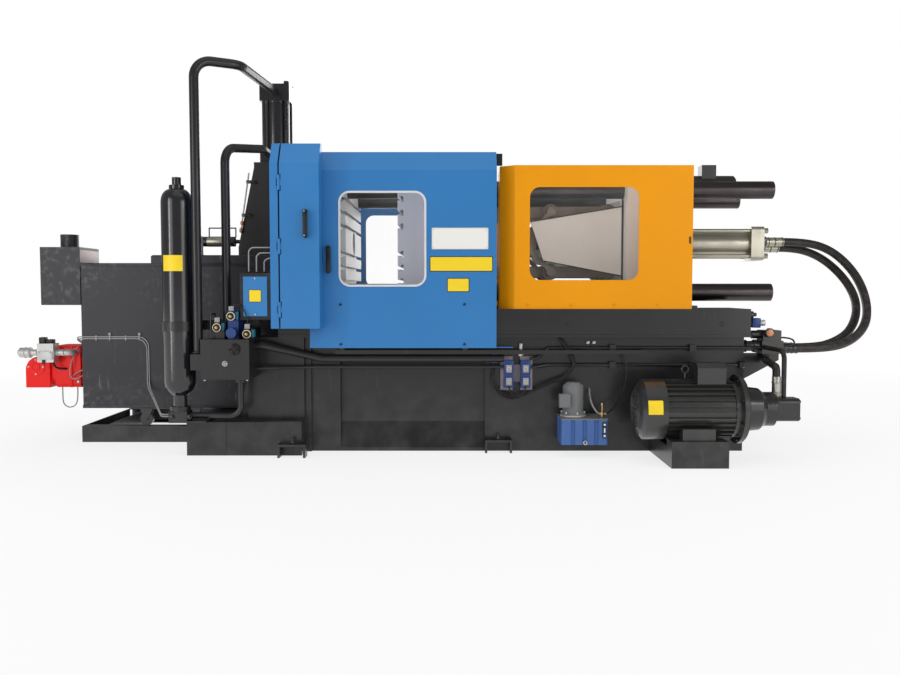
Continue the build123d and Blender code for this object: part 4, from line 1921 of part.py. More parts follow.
# Fixed cables: from the junction box to the side cover's wall, and along the furnace front
with BuildPart() as fixed_cables:
    cable_y = sum(box_y) / 2
    for index in range(1, 4):
        cable_x = box_x[0] + index * BOX_WIDTH / 4
        cable_z = box_z[1] + BOX_WIDTH - index * 8 * CABLE_RADIUS
        pipe(
            [(cable_x, cable_y, box_z[1]), (cable_x, cable_y, cable_z), (wall_x, cable_y, cable_z)],
            CABLE_RADIUS,
            8 * CABLE_RADIUS,
        )
    face_y = -FURNACE_HALF_DEPTH - CABLE_RADIUS - FIT
    socket_y = BURNER_Y - BURNER_BODY_DEPTH / 4
    socket_z = burner_bottom + BURNER_BODY_HEIGHT - CABLE_BEND
    corner_x = FURNACE_LEFT - CABLE_BEND
    plug_y = bottle_y + BASE_BLOCK / 4
    for index in range(2):
        step = index * 3 * CABLE_RADIUS
        run_z = furnace_top - CABLE_RUN_DROP - step
        drop_x = FURNACE_LEFT + CABLE_RUN_LENGTH - step
        pipe(
            [
                (burner_body_x, socket_y, socket_z - step),
                (corner_x, socket_y, socket_z - step),
                (corner_x, face_y, run_z),
                (drop_x, face_y, run_z),
                (drop_x, face_y, furnace_bottom + 4 * CABLE_BEND),
                (base_x[0] - 2 * CABLE_BEND, plug_y, feed_z - step),
                (base_x[0], plug_y, feed_z - step),
            ],
            CABLE_RADIUS,
            [CABLE_BEND, CABLE_BEND, 2 * CABLE_BEND, 2 * CABLE_BEND, CABLE_BEND],
        )
finish(fixed_cables, "fixed_cables")


def cord_radii(points):
    """Give each corner of a free hose or cable the largest bend that its two runs allow."""
    radii = []
    for before, corner, after in zip(points, points[1:], points[2:]):
        incoming = Vector(*corner) - Vector(*before)
        outgoing = Vector(*after) - Vector(*corner)
        turn = radians(incoming.get_angle(outgoing))
        radii.append(0.45 * min(incoming.length, outgoing.length) / tan(turn / 2))
    return radii


def offset_point(start, step):
    """Add a step to a point."""
    return tuple(a + b for a, b in zip(start, step))


def free_cord(points, radius, label):
    """Build the tube of a free hose or cable and print its bends and volume."""
    radii = cord_radii(points)
    with BuildPart() as cord:
        pipe(points, radius, radii)
    print(label, "radii", [round(value) for value in radii])
    finish(cord, label)
    return cord


# Free hoses of the clamp cylinder, and the burner's cable loop
outer_route = [(hose_start_x, *outer_port)]
outer_route += [offset_point(outer_route[0], step) for step in OUTER_FALL]
outer_route += [offset_point((hose_end_x, *outer_end), step) for step in OUTER_REACH]
outer_route += [(hose_end_x, *outer_end)]
inner_route = [(hose_start_x, *inner_port)]
inner_route += [offset_point(inner_route[0], step) for step in INNER_FALL]
inner_route += [offset_point((hose_end_x, *inner_end), step) for step in INNER_REACH]
inner_route += [(hose_end_x, *inner_end)]
free_cord(outer_route, HOSE_RADIUS, "clamp_hose_outer")
free_cord(inner_route, HOSE_RADIUS, "clamp_hose_inner")

loop_y = BURNER_Y - BURNER_BODY_DEPTH / 4
loop_top = (FURNACE_LEFT, loop_y, burner_bottom)
free_cord([offset_point(loop_top, step) for step in LOOP_STEPS], CABLE_RADIUS, "burner_cable_loop")
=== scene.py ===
"""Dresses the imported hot-chamber die casting machine: finishes, fittings, hoses, studio and camera."""

from __future__ import annotations

import json
import logging
import math
from dataclasses import dataclass, field
from enum import Enum
from itertools import product
from typing import Callable, Iterable, Optional, Sequence, Union

import bmesh
import bpy
from mathutils import Matrix, Vector


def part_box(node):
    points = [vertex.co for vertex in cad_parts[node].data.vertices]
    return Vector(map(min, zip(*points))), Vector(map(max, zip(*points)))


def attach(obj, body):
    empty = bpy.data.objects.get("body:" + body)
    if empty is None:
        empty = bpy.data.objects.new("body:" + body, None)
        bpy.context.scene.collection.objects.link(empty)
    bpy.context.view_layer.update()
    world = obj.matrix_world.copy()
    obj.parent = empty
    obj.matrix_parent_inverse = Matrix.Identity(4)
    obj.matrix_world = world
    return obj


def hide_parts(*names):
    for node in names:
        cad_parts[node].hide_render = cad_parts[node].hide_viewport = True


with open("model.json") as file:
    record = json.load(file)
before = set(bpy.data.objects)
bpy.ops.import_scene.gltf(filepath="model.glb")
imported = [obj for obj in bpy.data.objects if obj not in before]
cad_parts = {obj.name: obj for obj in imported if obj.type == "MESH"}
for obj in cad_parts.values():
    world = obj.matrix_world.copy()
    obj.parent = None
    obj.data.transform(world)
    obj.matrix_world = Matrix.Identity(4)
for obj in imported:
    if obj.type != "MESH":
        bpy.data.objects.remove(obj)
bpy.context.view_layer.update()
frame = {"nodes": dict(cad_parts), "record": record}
log = logging.getLogger("die_casting_machine")

Point = Sequence[float]
Spot = tuple[float, float]
Span = tuple[Point, Point]
Spots = tuple[Spot, ...]
Route = tuple[Point, ...]
Spans = tuple[Span, ...]
Boxes = tuple[tuple[Point, Point, float], ...]
Sizes = tuple[float, ...]
Color = tuple[float, float, float, float]
Value = Union["Signal", float]

SCUFFED: Color = (0.42, 0.41, 0.40, 1.0)
RUBBED: Color = (0.46, 0.45, 0.50, 1.0)
FLOOR_DUST: Color = (0.33, 0.31, 0.28, 1.0)
RUBBER_DUST: Color = (0.30, 0.27, 0.25, 1.0)
BEVEL_ANGLE = math.radians(40)
SMOOTH_ANGLE = math.radians(35)
RIM_STEPS = 2
CORNER_STEPS = 8
TUBE_SIDES = 10
BAND_STEPS = 16
ALONG_Y = 0.9
HEX = 6
THIN = 0.0012
FINE_EDGE = 0.001
EDGE = 0.002
SOFT_EDGE = 0.003
WIDE_EDGE = 0.004
DIAGONAL = 45.0


class Body(str, Enum):
    """The rigid bodies that a piece can ride on."""

    MACHINE = "machine"
    DOOR = "front_door"
    COVER = "side_cover"


class Way(Enum):
    """Directions that a fitting can face."""

    LEFT = (-1.0, 0.0, 0.0)
    RIGHT = (1.0, 0.0, 0.0)
    FRONT = (0.0, -1.0, 0.0)
    BACK = (0.0, 1.0, 0.0)
    UP = (0.0, 0.0, 1.0)
    DOWN = (0.0, 0.0, -1.0)


def linear(red: int, green: int, blue: int) -> Color:
    """Turn a display colour into the linear colour that a shader takes.

    Args:
        red: Red, from 0 to 255.
        green: Green, from 0 to 255.
        blue: Blue, from 0 to 255.

    Returns:
        The linear colour, with full alpha.
    """
    parts = [c / 255 for c in (red, green, blue)]
    levels = [c / 12.92 if c <= 0.04045 else ((c + 0.055) / 1.055) ** 2.4 for c in parts]
    return (*levels, 1.0)


def scaled(color: Point, factor: float) -> Color:
    """Make a colour darker or lighter by a factor, with full alpha."""
    return (*(min(1.0, c * factor) for c in color[:3]), 1.0)


@dataclass
class Signal:
    """A shader socket whose values Python's operators can combine."""

    nodes: "Nodes"
    socket: bpy.types.NodeSocket

    def _math(self, operation: str, first: Value, second: Value) -> "Signal":
        """Add a Math node for two values, and give its result."""
        return self.nodes.node("ShaderNodeMath", {"operation": operation}, {0: first, 1: second})

    def __add__(self, other: Value) -> "Signal":
        """Add a value."""
        return self._math("ADD", self, other)

    __radd__ = __add__

    def __sub__(self, other: Value) -> "Signal":
        """Take a value away."""
        return self._math("SUBTRACT", self, other)

    def __rsub__(self, other: Value) -> "Signal":
        """Take this away from a value."""
        return self._math("SUBTRACT", other, self)

    def __mul__(self, other: Value) -> "Signal":
        """Multiply by a value."""
        return self._math("MULTIPLY", self, other)

    __rmul__ = __mul__


class Nodes:
    """The nodes of a material or of the world, while they are put together."""

    def __init__(self, owner: Union[bpy.types.Material, bpy.types.World]) -> None:
        """Switch on the owner's nodes."""
        owner.use_nodes = True
        self.tree = owner.node_tree

    def node(self, kind: str, settings: dict, inputs: dict, output: Union[int, str] = 0) -> Signal:
        """Add any node.

        Args:
            kind: The node's type.
            settings: Its properties.
            inputs: Its sockets' values or links, by name or number.
            output: The output to give back.

        Returns:
            That output.
        """
        made = self.tree.nodes.new(kind)
        for name, setting in settings.items():
            setattr(made, name, setting)
        for name, value in inputs.items():
            self.feed(made.inputs[name], value)
        return Signal(self, made.outputs[output])

    def feed(self, socket: bpy.types.NodeSocket, value: object) -> None:
        """Link a signal into a socket, or set a plain value on it.

        Args:
            socket: The socket to fill.
            value: A signal, or a value of the socket's own kind.
        """
        if isinstance(value, Signal):
            self.tree.links.new(value.socket, socket)
        else:
            socket.default_value = value

    def rays(self, *kinds: str) -> Signal:
        """Tell rays of some kinds from the rest.

        Args:
            kinds: The kinds, such as Camera or Glossy.

        Returns:
            1 for a ray of any of these kinds, and 0 for the others.
        """
        first, *others = (self.node("ShaderNodeLightPath", {}, {}, f"Is {kind} Ray") for kind in kinds)
        for other in others:
            first = self.node("ShaderNodeMath", {"operation": "MAXIMUM"}, {0: first, 1: other})
        return first


class Recipe(Nodes):
    """One material being put together from nodes on Object coordinates."""

    def __init__(self, name: str) -> None:
        """Start a material with a Principled shader.

        Args:
            name: The material's name.
        """
        self.material = bpy.data.materials.new(name)
        super().__init__(self.material)
        self.shader = self.tree.nodes["Principled BSDF"]
        self.place = self.node("ShaderNodeTexCoord", {}, {}, "Object")

    def noise(self, scale: float, detail: float = 3.0, stretch: Point = (1, 1, 1)) -> Signal:
        """Give noise over the piece.

        Args:
            scale: Waves in a metre.
            detail: Octaves.
            stretch: Scale along each axis.

        Returns:
            The noise, about 0.5 on average.
        """
        spot = self.node("ShaderNodeMapping", {}, {"Vector": self.place, "Scale": stretch})
        return self.node("ShaderNodeTexNoise", {}, {"Vector": spot, "Scale": scale, "Detail": detail}, "Fac")

    def mask(self, signal: Signal, low: float, high: float) -> Signal:
        """Stretch a signal so that low becomes 0 and high becomes 1, held between them."""
        sockets = {"Value": signal, "From Min": low, "From Max": high}
        return self.node("ShaderNodeMapRange", {"clamp": True}, sockets)

    def tint(self, factor: Value, first: object, second: object) -> Signal:
        """Blend two colours by a factor."""
        sockets = {0: factor, 6: first, 7: second}
        return self.node("ShaderNodeMix", {"data_type": "RGBA"}, sockets, 2)

    def height(self) -> Signal:
        """Give the height above the floor, in metres."""
        return self.node("ShaderNodeSeparateXYZ", {}, {0: self.place}, "Z")

    def bump(self, signal: Signal, strength: float, distance: float) -> Signal:
        """Turn a height signal into a bumped normal."""
        sockets = {"Strength": strength, "Distance": distance, "Height": signal}
        return self.node("ShaderNodeBump", {}, sockets)

    def surface(self, **sockets: object) -> bpy.types.Material:
        """Set the shader's sockets, named with underscores.

        Args:
            sockets: Values or signals by socket name.

        Returns:
            The finished material.
        """
        for name, value in sockets.items():
            label = name.replace("_", " ").title().replace("Ior", "IOR")
            self.feed(self.shader.inputs[label], value)
        return self.material


@dataclass(frozen=True)
class Paint:
    """Sprayed enamel on sheet or cast metal, with faint clouding, scuffs and floor dust."""

    name: str
    color: Color
    roughness: float = 0.38
    clouding: float = 0.10
    scuffs: float = 0.10
    dust: float = 0.0
    peel: float = 0.10
    coat: float = 0.0
    specular: float = 0.5
    blotches: float = 0.0

    def build(self) -> bpy.types.Material:
        """Make the material.

        Returns:
            The finished material.
        """
        recipe = Recipe(self.name)
        cloud = recipe.mask(recipe.noise(1.8, 4.0), 0.3, 0.7)
        dark, pale = (scaled(self.color, 1 + sign * self.clouding) for sign in (-1, 1))
        color = recipe.tint(cloud, dark, pale)
        streaks = recipe.mask(recipe.noise(34.0, 2.0, (1.0, 1.0, 0.12)), 0.62, 0.80)
        patches = recipe.mask(recipe.noise(5.0, 3.0), 0.5, 0.72)
        scuff = streaks * patches * self.scuffs
        color = recipe.tint(scuff, color, SCUFFED)
        if self.blotches:
            spread = recipe.mask(recipe.noise(1.6, 2.0), 0.46, 0.62)
            rubbed = recipe.mask(recipe.noise(24.0, 8.0), 0.52, 0.68) * spread * self.blotches
            color = recipe.tint(rubbed, color, RUBBED)
        if self.dust:
            low = 1 - recipe.mask(recipe.height(), 0.0, 0.55)
            settled = low * recipe.mask(recipe.noise(9.0, 5.0), 0.35, 0.75) * self.dust
            color = recipe.tint(settled, color, FLOOR_DUST)
        shine = self.roughness + cloud * 0.06 + scuff * 0.5
        normal = recipe.bump(recipe.noise(420.0, 2.0), self.peel, 0.0006)
        return recipe.surface(
            base_color=color,
            roughness=shine,
            normal=normal,
            coat_weight=self.coat,
            coat_roughness=0.12,
            specular_ior_level=self.specular,
        )


@dataclass(frozen=True)
class Metal:
    """Bare or plated metal, with turning or brushing marks along one axis."""

    name: str
    color: Color
    roughness: float = 0.3
    stretch: tuple[float, float, float] = (1.0, 1.0, 1.0)
    stain: float = 0.15
    grain: float = 0.12
    metallic: float = 1.0

    def build(self) -> bpy.types.Material:
        """Make the material.

        Returns:
            The finished material.
        """
        recipe = Recipe(self.name)
        marks = recipe.noise(90.0, 4.0, self.stretch)
        tarnish = recipe.mask(recipe.noise(7.0, 5.0), 0.4, 0.75)
        color = recipe.tint(tarnish * self.stain, self.color, scaled(self.color, 0.35))
        color = recipe.tint(marks * 0.25, color, scaled(self.color, 0.7))
        shine = self.roughness + marks * 0.14 + tarnish * 0.1
        normal = recipe.bump(marks, self.grain, 0.0008)
        return recipe.surface(base_color=color, roughness=shine, metallic=self.metallic, normal=normal)


@dataclass(frozen=True)
class Rubber:
    """Rubber, or matt plastic where it has less grain, with dusty patches."""

    name: str
    color: Color
    roughness: float = 0.6
    dust: float = 0.12
    grain: float = 0.2

    def build(self) -> bpy.types.Material:
        """Make the material.

        Returns:
            The finished material.
        """
        recipe = Recipe(self.name)
        bloom = recipe.mask(recipe.noise(16.0, 4.0), 0.45, 0.75)
        color = recipe.tint(bloom * self.dust, self.color, RUBBER_DUST)
        normal = recipe.bump(recipe.noise(520.0, 2.0), self.grain, 0.0005)
        return recipe.surface(base_color=color, roughness=self.roughness + bloom * 0.1, normal=normal)


@dataclass(frozen=True)
class Clear:
    """Clear polycarbonate sheet, with a faint haze of wipe marks."""

    name: str
    color: Color = (0.92, 0.95, 0.97, 1.0)
    haze: float = 0.012

    def build(self) -> bpy.types.Material:
        """Make the material.

        Returns:
            The finished material.
        """
        recipe = Recipe(self.name)
        wipes = recipe.mask(recipe.noise(3.0, 4.0, (1.0, 1.0, 0.45)), 0.42, 0.8)
        return recipe.surface(
            base_color=self.color,
            roughness=0.03 + wipes * 0.05,
            alpha=self.haze + wipes * 0.02,
        )


class Finish(Enum):
    """Every finish of the machine and of its fittings.

    A paint's numbers are roughness, clouding, scuffs, dust, peel and coat. A metal's are roughness, stretch,
    stain, grain and metallic, and a rubber's roughness, dust and grain.
    """

    MACHINE_GREY = Paint("machine_grey", linear(28, 27, 30), 0.32, 0.12, 0.12, 0.12, 0.10, 0.2)
    FURNACE_GREY = Paint("furnace_grey", linear(34, 34, 41), 0.42, 0.26, 0.62, 0.12, 0.25, blotches=0.12)
    BURNER_RED = Paint("burner_red", linear(238, 24, 18), 0.30, 0.06, 0.05, specular=0.25)
    GUARD_BLUE = Paint("guard_blue", linear(42, 120, 184), 0.32, 0.035, 0.03)
    GUARD_YELLOW = Paint("guard_yellow", linear(234, 152, 0), 0.36, 0.035, 0.03, specular=0.2)
    TANK_BLUE = Paint("tank_blue", linear(66, 104, 168), 0.36, 0.08, 0.10)
    VALVE_BLUE = Paint("valve_blue", linear(30, 62, 128), 0.34, 0.08, 0.08)
    PLATEN_BEIGE = Paint("platen_beige", linear(232, 229, 222), 0.42, 0.06, 0.12)
    PLATEN_GREY = Paint("platen_grey", linear(232, 231, 242), 0.42, 0.06, 0.12)
    MOTOR_GREY = Paint("motor_grey", linear(44, 43, 42), 0.28, 0.08, 0.08, 0.08, 0.10, 0.45)
    GLOSS_DARK = Paint("gloss_dark", linear(28, 28, 32), 0.18, 0.06, 0.05, 0.0, 0.05, 0.6)
    BLACK_STEEL = Paint("black_steel", linear(28, 27, 28), 0.28, 0.10, 0.12, 0.06, 0.10, 0.35)
    LINK_IRON = Metal("link_iron", linear(150, 144, 132), 0.44, (1, 1, 1), 0.35, 0.2, 0.6)
    TIE_BAR_STEEL = Metal("tie_bar_steel", linear(84, 78, 78), 0.24, (14, 1, 1), 0.35)
    CYLINDER_GREY = Metal("cylinder_grey", linear(186, 182, 166), 0.24, (6, 1, 1), 0.25, 0.10, 0.85)
    CAST_ALUMINIUM = Metal("cast_aluminium", linear(216, 216, 214), 0.40, (1, 1, 1), 0.30, 0.25, 0.7)
    BLACK_PLASTIC = Rubber("black_plastic", linear(17, 17, 19), 0.44, 0.06, 0.1)
    HOSE_BLACK = Rubber("hose_black", linear(34, 27, 26), 0.46)
    CABLE_GREY = Rubber("cable_grey", linear(150, 150, 150), 0.5)
    LUBE_GREY = Paint("lube_grey", linear(112, 114, 116), 0.40, 0.08, 0.10)
    PAIR_PINK = Paint("pair_pink", linear(150, 138, 140), 0.42, 0.10, 0.14)
    CLEAR_WINDOW = Clear("clear_window")
    ZINC = Metal("zinc", linear(200, 198, 190), 0.30)
    BRASS = Metal("brass", linear(206, 178, 124), 0.32)
    COPPER = Metal("copper", linear(206, 140, 112), 0.32)
    WHITE_PLATE = Paint("white_plate", linear(238, 236, 230), 0.40, 0.03, 0.03)
    YELLOW_PLATE = Paint("yellow_plate", linear(246, 212, 20), 0.42, 0.03, 0.04)
    PLATE_BORDER = Paint("plate_border", linear(28, 28, 28), 0.45, 0.05, 0.04)
    PALE_SEAL = Rubber("pale_seal", linear(214, 216, 216), 0.55, 0.10)
    PALE_SHEET = Paint("pale_sheet", linear(206, 190, 188), 0.45, 0.16, 0.30)
    CREAM = Rubber("cream", linear(226, 214, 176), 0.45, 0.08)
    TEAL = Paint("teal", linear(40, 116, 140), 0.40, 0.06, 0.06)

    @property
    def material(self) -> bpy.types.Material:
        """Look the finish's material up, or make it the first time.

        Returns:
            The material.
        """
        name = "mc_" + self.value.name
        made = bpy.data.materials.get(name) or self.value.build()
        made.name = name
        return made

    @property
    def record_slot(self) -> Optional[str]:
        """The record's slot of this name, where there is one."""
        slots = {entry["slot"] for entry in frame["record"]["materials"]}
        return self.value.name if self.value.name in slots else None


def add_object(name: str, data: bpy.types.ID, finish: Finish, body: Body) -> bpy.types.Object:
    """Put a mesh or a curve into the scene, and let it ride on a body.

    Args:
        name: The piece's name.
        data: Its mesh or curve.
        finish: Its finish.
        body: The body that carries it.

    Returns:
        The new object.
    """
    made = bpy.data.objects.new(name, data)
    bpy.context.scene.collection.objects.link(made)
    data.materials.append(finish.material)
    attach(made, body.value)
    log.info("%s: %s on %s", name, finish.value.name, body.value)
    return made


@dataclass
class Piece:
    """One new object that rides on a body, gathered from bmesh shapes of one finish."""

    name: str
    finish: Finish
    body: Body = Body.MACHINE
    mesh: bmesh.types.BMesh = field(default_factory=bmesh.new)

    def _bevel(self, edges: Iterable[bmesh.types.BMEdge], offset: float, segments: int) -> None:
        """Round some edges.

        Args:
            edges: The edges.
            offset: Size of the rounding.
            segments: Steps across it.
        """
        bmesh.ops.bevel(
            self.mesh, geom=list(edges), offset=offset, offset_type="OFFSET", affect="EDGES",
            segments=segments, profile=0.5, material=-1, clamp_overlap=True,
        )

    def _soften(self, verts: Sequence[bmesh.types.BMVert], edge: float) -> None:
        """Round the sharp edges at some vertices.

        Args:
            verts: The vertices.
            edge: Size of the rounding, or 0 for none.
        """
        if edge > 0:
            edges = {e for v in verts for e in v.link_edges}
            self._bevel((e for e in edges if e.calc_face_angle(0.0) > BEVEL_ANGLE), edge, RIM_STEPS)

    def _bar(self, start: Point, end: Point, radius: float, sides: int) -> list[bmesh.types.BMVert]:
        """Add a bar with plain rims.

        Args:
            start: Middle of its first end.
            end: Middle of its other end.
            radius: Its radius.
            sides: Number of sides.

        Returns:
            The bar's vertices.
        """
        along = Vector(end) - Vector(start)
        turn = along.to_track_quat("Z", "Y").to_matrix().to_4x4()
        matrix = Matrix.Translation((Vector(start) + Vector(end)) / 2) @ turn
        return bmesh.ops.create_cone(
            self.mesh, cap_ends=True, segments=sides, radius1=radius, radius2=radius, depth=along.length,
            matrix=matrix,
        )["verts"]

    def _block(self, center: Vector, size: Vector) -> list[bmesh.types.BMVert]:
        """Add a box with plain edges, and give its vertices."""
        matrix = Matrix.Translation(center) @ Matrix.Diagonal((*size, 1.0))
        return bmesh.ops.create_cube(self.mesh, size=1.0, matrix=matrix)["verts"]

    def spread(self, shape: Callable[..., "Piece"], spots: Iterable[Point], *sizes: object) -> "Piece":
        """Add the same shape at several places.

        Args:
            shape: The method that adds it.
            spots: The places.
            sizes: What the shape takes after its place.

        Returns:
            The piece.
        """
        for spot in spots:
            shape(self, spot, *sizes)
        return self

    def rods(self, spans: Iterable[Span], radius: float, edge: float = 0.0, sides: int = 24) -> "Piece":
        """Add several bars of one thickness.

        Args:
            spans: The two ends of each bar.
            radius: Their radius.
            edge: Rounding of the rims.
            sides: Number of sides.

        Returns:
            The piece.
        """
        for start, end in spans:
            self.rod(start, end, radius, edge, sides)
        return self

    def box(self, low: Point, high: Point, edge: float = EDGE) -> "Piece":
        """Add a box with rounded edges.

        Args:
            low: Its lowest corner.
            high: Its highest corner.
            edge: Size of the rounding.

        Returns:
            The piece.
        """
        first, last = Vector(low), Vector(high)
        self._soften(self._block((first + last) / 2, last - first), edge)
        return self

    def rod(self, start: Point, end: Point, radius: float, edge: float = 0.0, sides: int = 24) -> "Piece":
        """Add a round or many-sided bar.

        Args:
            start: Middle of its first end.
            end: Middle of its other end.
            radius: Its radius.
            edge: Rounding of the rims.
            sides: Number of sides.

        Returns:
            The piece.
        """
        self._soften(self._bar(start, end, radius, sides), edge)
        return self

    def stud(self, at: Point, way: Way, radius: float, length: float, sides: int = 24) -> "Piece":
        """Add a short round or many-sided boss that stands on a face."""
        end = Vector(at) + Vector(way.value) * length
        return self.rod(at, end, radius, min(radius, length) * 0.15, sides)

    def hex_bolt(self, at: Point, way: Way, radius: float) -> "Piece":
        """Add a washer and a hexagon head on a face.

        Args:
            at: The bolt's place on the face.
            way: The way that the face looks.
            radius: The head's radius.

        Returns:
            The piece.
        """
        outward = Vector(way.value)
        washer = Vector(at) + outward * radius * 0.25
        self.rod(at, washer, radius * 1.25, radius * 0.06)
        return self.rod(washer, washer + outward * radius * 0.8, radius, radius * 0.12, HEX)

    def cap_screw(self, at: Point, way: Way, radius: float) -> "Piece":
        """Add a socket-head screw with its round recess.

        Args:
            at: The screw's place on the face.
            way: The way that the face looks.
            radius: The head's radius.

        Returns:
            The piece.
        """
        outward = Vector(way.value)
        verts = self._bar(at, Vector(at) + outward * radius * 0.9, radius, 24)
        faces = {f for v in verts for f in v.link_faces}
        face = max(faces, key=lambda f: f.calc_center_median().dot(outward))
        bmesh.ops.inset_region(self.mesh, faces=[face], thickness=radius * 0.45, depth=0.0)
        bmesh.ops.translate(self.mesh, verts=face.verts, vec=-outward * radius * 0.5)
        return self

    def ring(self, center: Point, way: Way, radius: float, tube: float, sides: int = 32) -> "Piece":
        """Add a round ring.

        Args:
            center: Its centre.
            way: Its axis.
            radius: From the axis to the tube's middle.
            tube: Radius of the tube.
            sides: Steps round the axis.

        Returns:
            The piece.
        """
        axis = Vector(way.value)
        across = axis.orthogonal().normalized()
        turn = across.cross(axis).normalized().to_track_quat("Z", "Y").to_matrix().to_4x4()
        spot = Vector(center) + across * radius
        made = bmesh.ops.create_circle(
            self.mesh, segments=TUBE_SIDES, radius=tube, matrix=Matrix.Translation(spot) @ turn
        )
        loop = list({e for v in made["verts"] for e in v.link_edges})
        bmesh.ops.spin(
            self.mesh, geom=made["verts"] + loop, cent=center, axis=axis, angle=math.tau, steps=sides,
            use_merge=True,
        )
        return self

    def plate(self, center: Point, width: float, height: float, corner: float, depth: float) -> "Piece":
        """Add an upright plate with rounded corners that faces the front.

        Args:
            center: Middle of its back face.
            width: Size along X.
            height: Size along Z.
            corner: Corner radius.
            depth: Thickness, towards the front.

        Returns:
            The piece.
        """
        middle = Vector(center) + Vector(Way.FRONT.value) * depth / 2
        edges = {e for v in self._block(middle, Vector((width, depth, height))) for e in v.link_edges}
        ways = {e: (e.verts[0].co - e.verts[1].co).normalized() for e in edges}
        self._bevel((e for e, way in ways.items() if abs(way.y) > ALONG_Y), corner, CORNER_STEPS)
        return self

    def border(
        self, center: Point, width: float, height: float, corner: float, rim: float, depth: float
    ) -> "Piece":
        """Add an upright frame, made from a plate of the same measures.

        Args:
            center: Middle of its back face.
            width: Outer size along X.
            height: Outer size along Z.
            corner: Outer corner radius.
            rim: Width of the frame's bars.
            depth: Thickness, towards the front.

        Returns:
            The piece.
        """
        before = set(self.mesh.faces)
        self.plate(center, width, height, corner, depth)
        ends = [f for f in self.mesh.faces if f not in before and abs(f.normal.y) > ALONG_Y]
        bmesh.ops.inset_individual(self.mesh, faces=ends, thickness=rim, depth=0.0)
        loops = [e for f in ends for e in f.edges]
        bmesh.ops.delete(self.mesh, geom=ends, context="FACES_ONLY")
        bmesh.ops.bridge_loops(self.mesh, edges=loops)
        return self

    def wrap(self, spot: Point, center: Point, way: Way, width: float, depth: float, sweep: float) -> "Piece":
        """Add a thin band that lies round an axis.

        Args:
            spot: Middle of the band's first end, on the round surface.
            center: A point on the axis.
            way: The axis.
            width: The band's size along the axis.
            depth: Its thickness.
            sweep: The angle that it covers.

        Returns:
            The piece.
        """
        axis = Vector(way.value)
        outward = Vector(spot) - Vector(center)
        outward = (outward - axis * outward.dot(axis)).normalized()
        profile = [(-1, 0), (1, 0), (1, 1), (-1, 1)]
        spots = [Vector(spot) + axis * a * width / 2 + outward * b * depth for a, b in profile]
        verts = [self.mesh.verts.new(at) for at in spots]
        edges = [self.mesh.edges.new((verts[i], verts[i - 1])) for i in range(len(verts))]
        bmesh.ops.spin(
            self.mesh, geom=verts + edges, cent=center, axis=axis, angle=sweep, steps=BAND_STEPS,
            use_merge=False,
        )
        open_edges = [e for e in self.mesh.edges if e.is_boundary]
        bmesh.ops.holes_fill(self.mesh, edges=open_edges, sides=len(profile))
        return self

    def done(self) -> bpy.types.Object:
        """Turn the shapes into an object with its material, and let it ride on its body.

        Returns:
            The finished object.
        """
        bmesh.ops.recalc_face_normals(self.mesh, faces=self.mesh.faces)
        data = bpy.data.meshes.new(self.name)
        self.mesh.to_mesh(data)
        self.mesh.free()
        for polygon in data.polygons:
            polygon.use_smooth = True
        data.set_sharp_from_angle(angle=SMOOTH_ANGLE)
        return add_object(self.name, data, self.finish, self.body)


@dataclass
class Cable:
    """A cable or hose drawn as one smooth NURBS line along listed points."""

    name: str
    points: Sequence[Point]
    radius: float
    finish: Finish

    def done(self) -> bpy.types.Object:
        """Make the curve, and let it ride on the machine.

        Returns:
            The curve's object.
        """
        data = bpy.data.curves.new(self.name, "CURVE")
        data.dimensions = "3D"
        data.bevel_depth = self.radius
        data.bevel_resolution = 4
        data.use_fill_caps = True
        spline = data.splines.new("NURBS")
        spline.points.add(len(self.points) - 1)
        for spot, place in zip(spline.points, self.points):
            spot.co = (*place, 1.0)
        spline.order_u = 3
        spline.use_endpoint_u = True
        spline.resolution_u = 12
        return add_object(self.name, data, self.finish, Body.MACHINE)

    def length(self, made: bpy.types.Object) -> float:
        """Measure the curve's own line.

        Args:
            made: The curve's object.

        Returns:
            Its length in metres.
        """
        bare = made.copy()
        bare.data = made.data.copy()
        bare.data.bevel_depth = 0.0
        line = bpy.data.meshes.new_from_object(bare)
        total = sum((line.vertices[a].co - line.vertices[b].co).length for a, b in line.edge_keys)
        bpy.data.meshes.remove(line)
        bpy.data.objects.remove(bare)
        return total

    def hang(self, node: Optional[str] = None) -> bpy.types.Object:
        """Make the curve, and hide the CAD solid that it stands for.

        Args:
            node: The CAD solid that it stands for, where it has one.

        Returns:
            The curve's object.
        """
        made = self.done()
        if node:
            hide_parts(node)
        round(self.length(made), 3)
        2 * self.radius
        return made


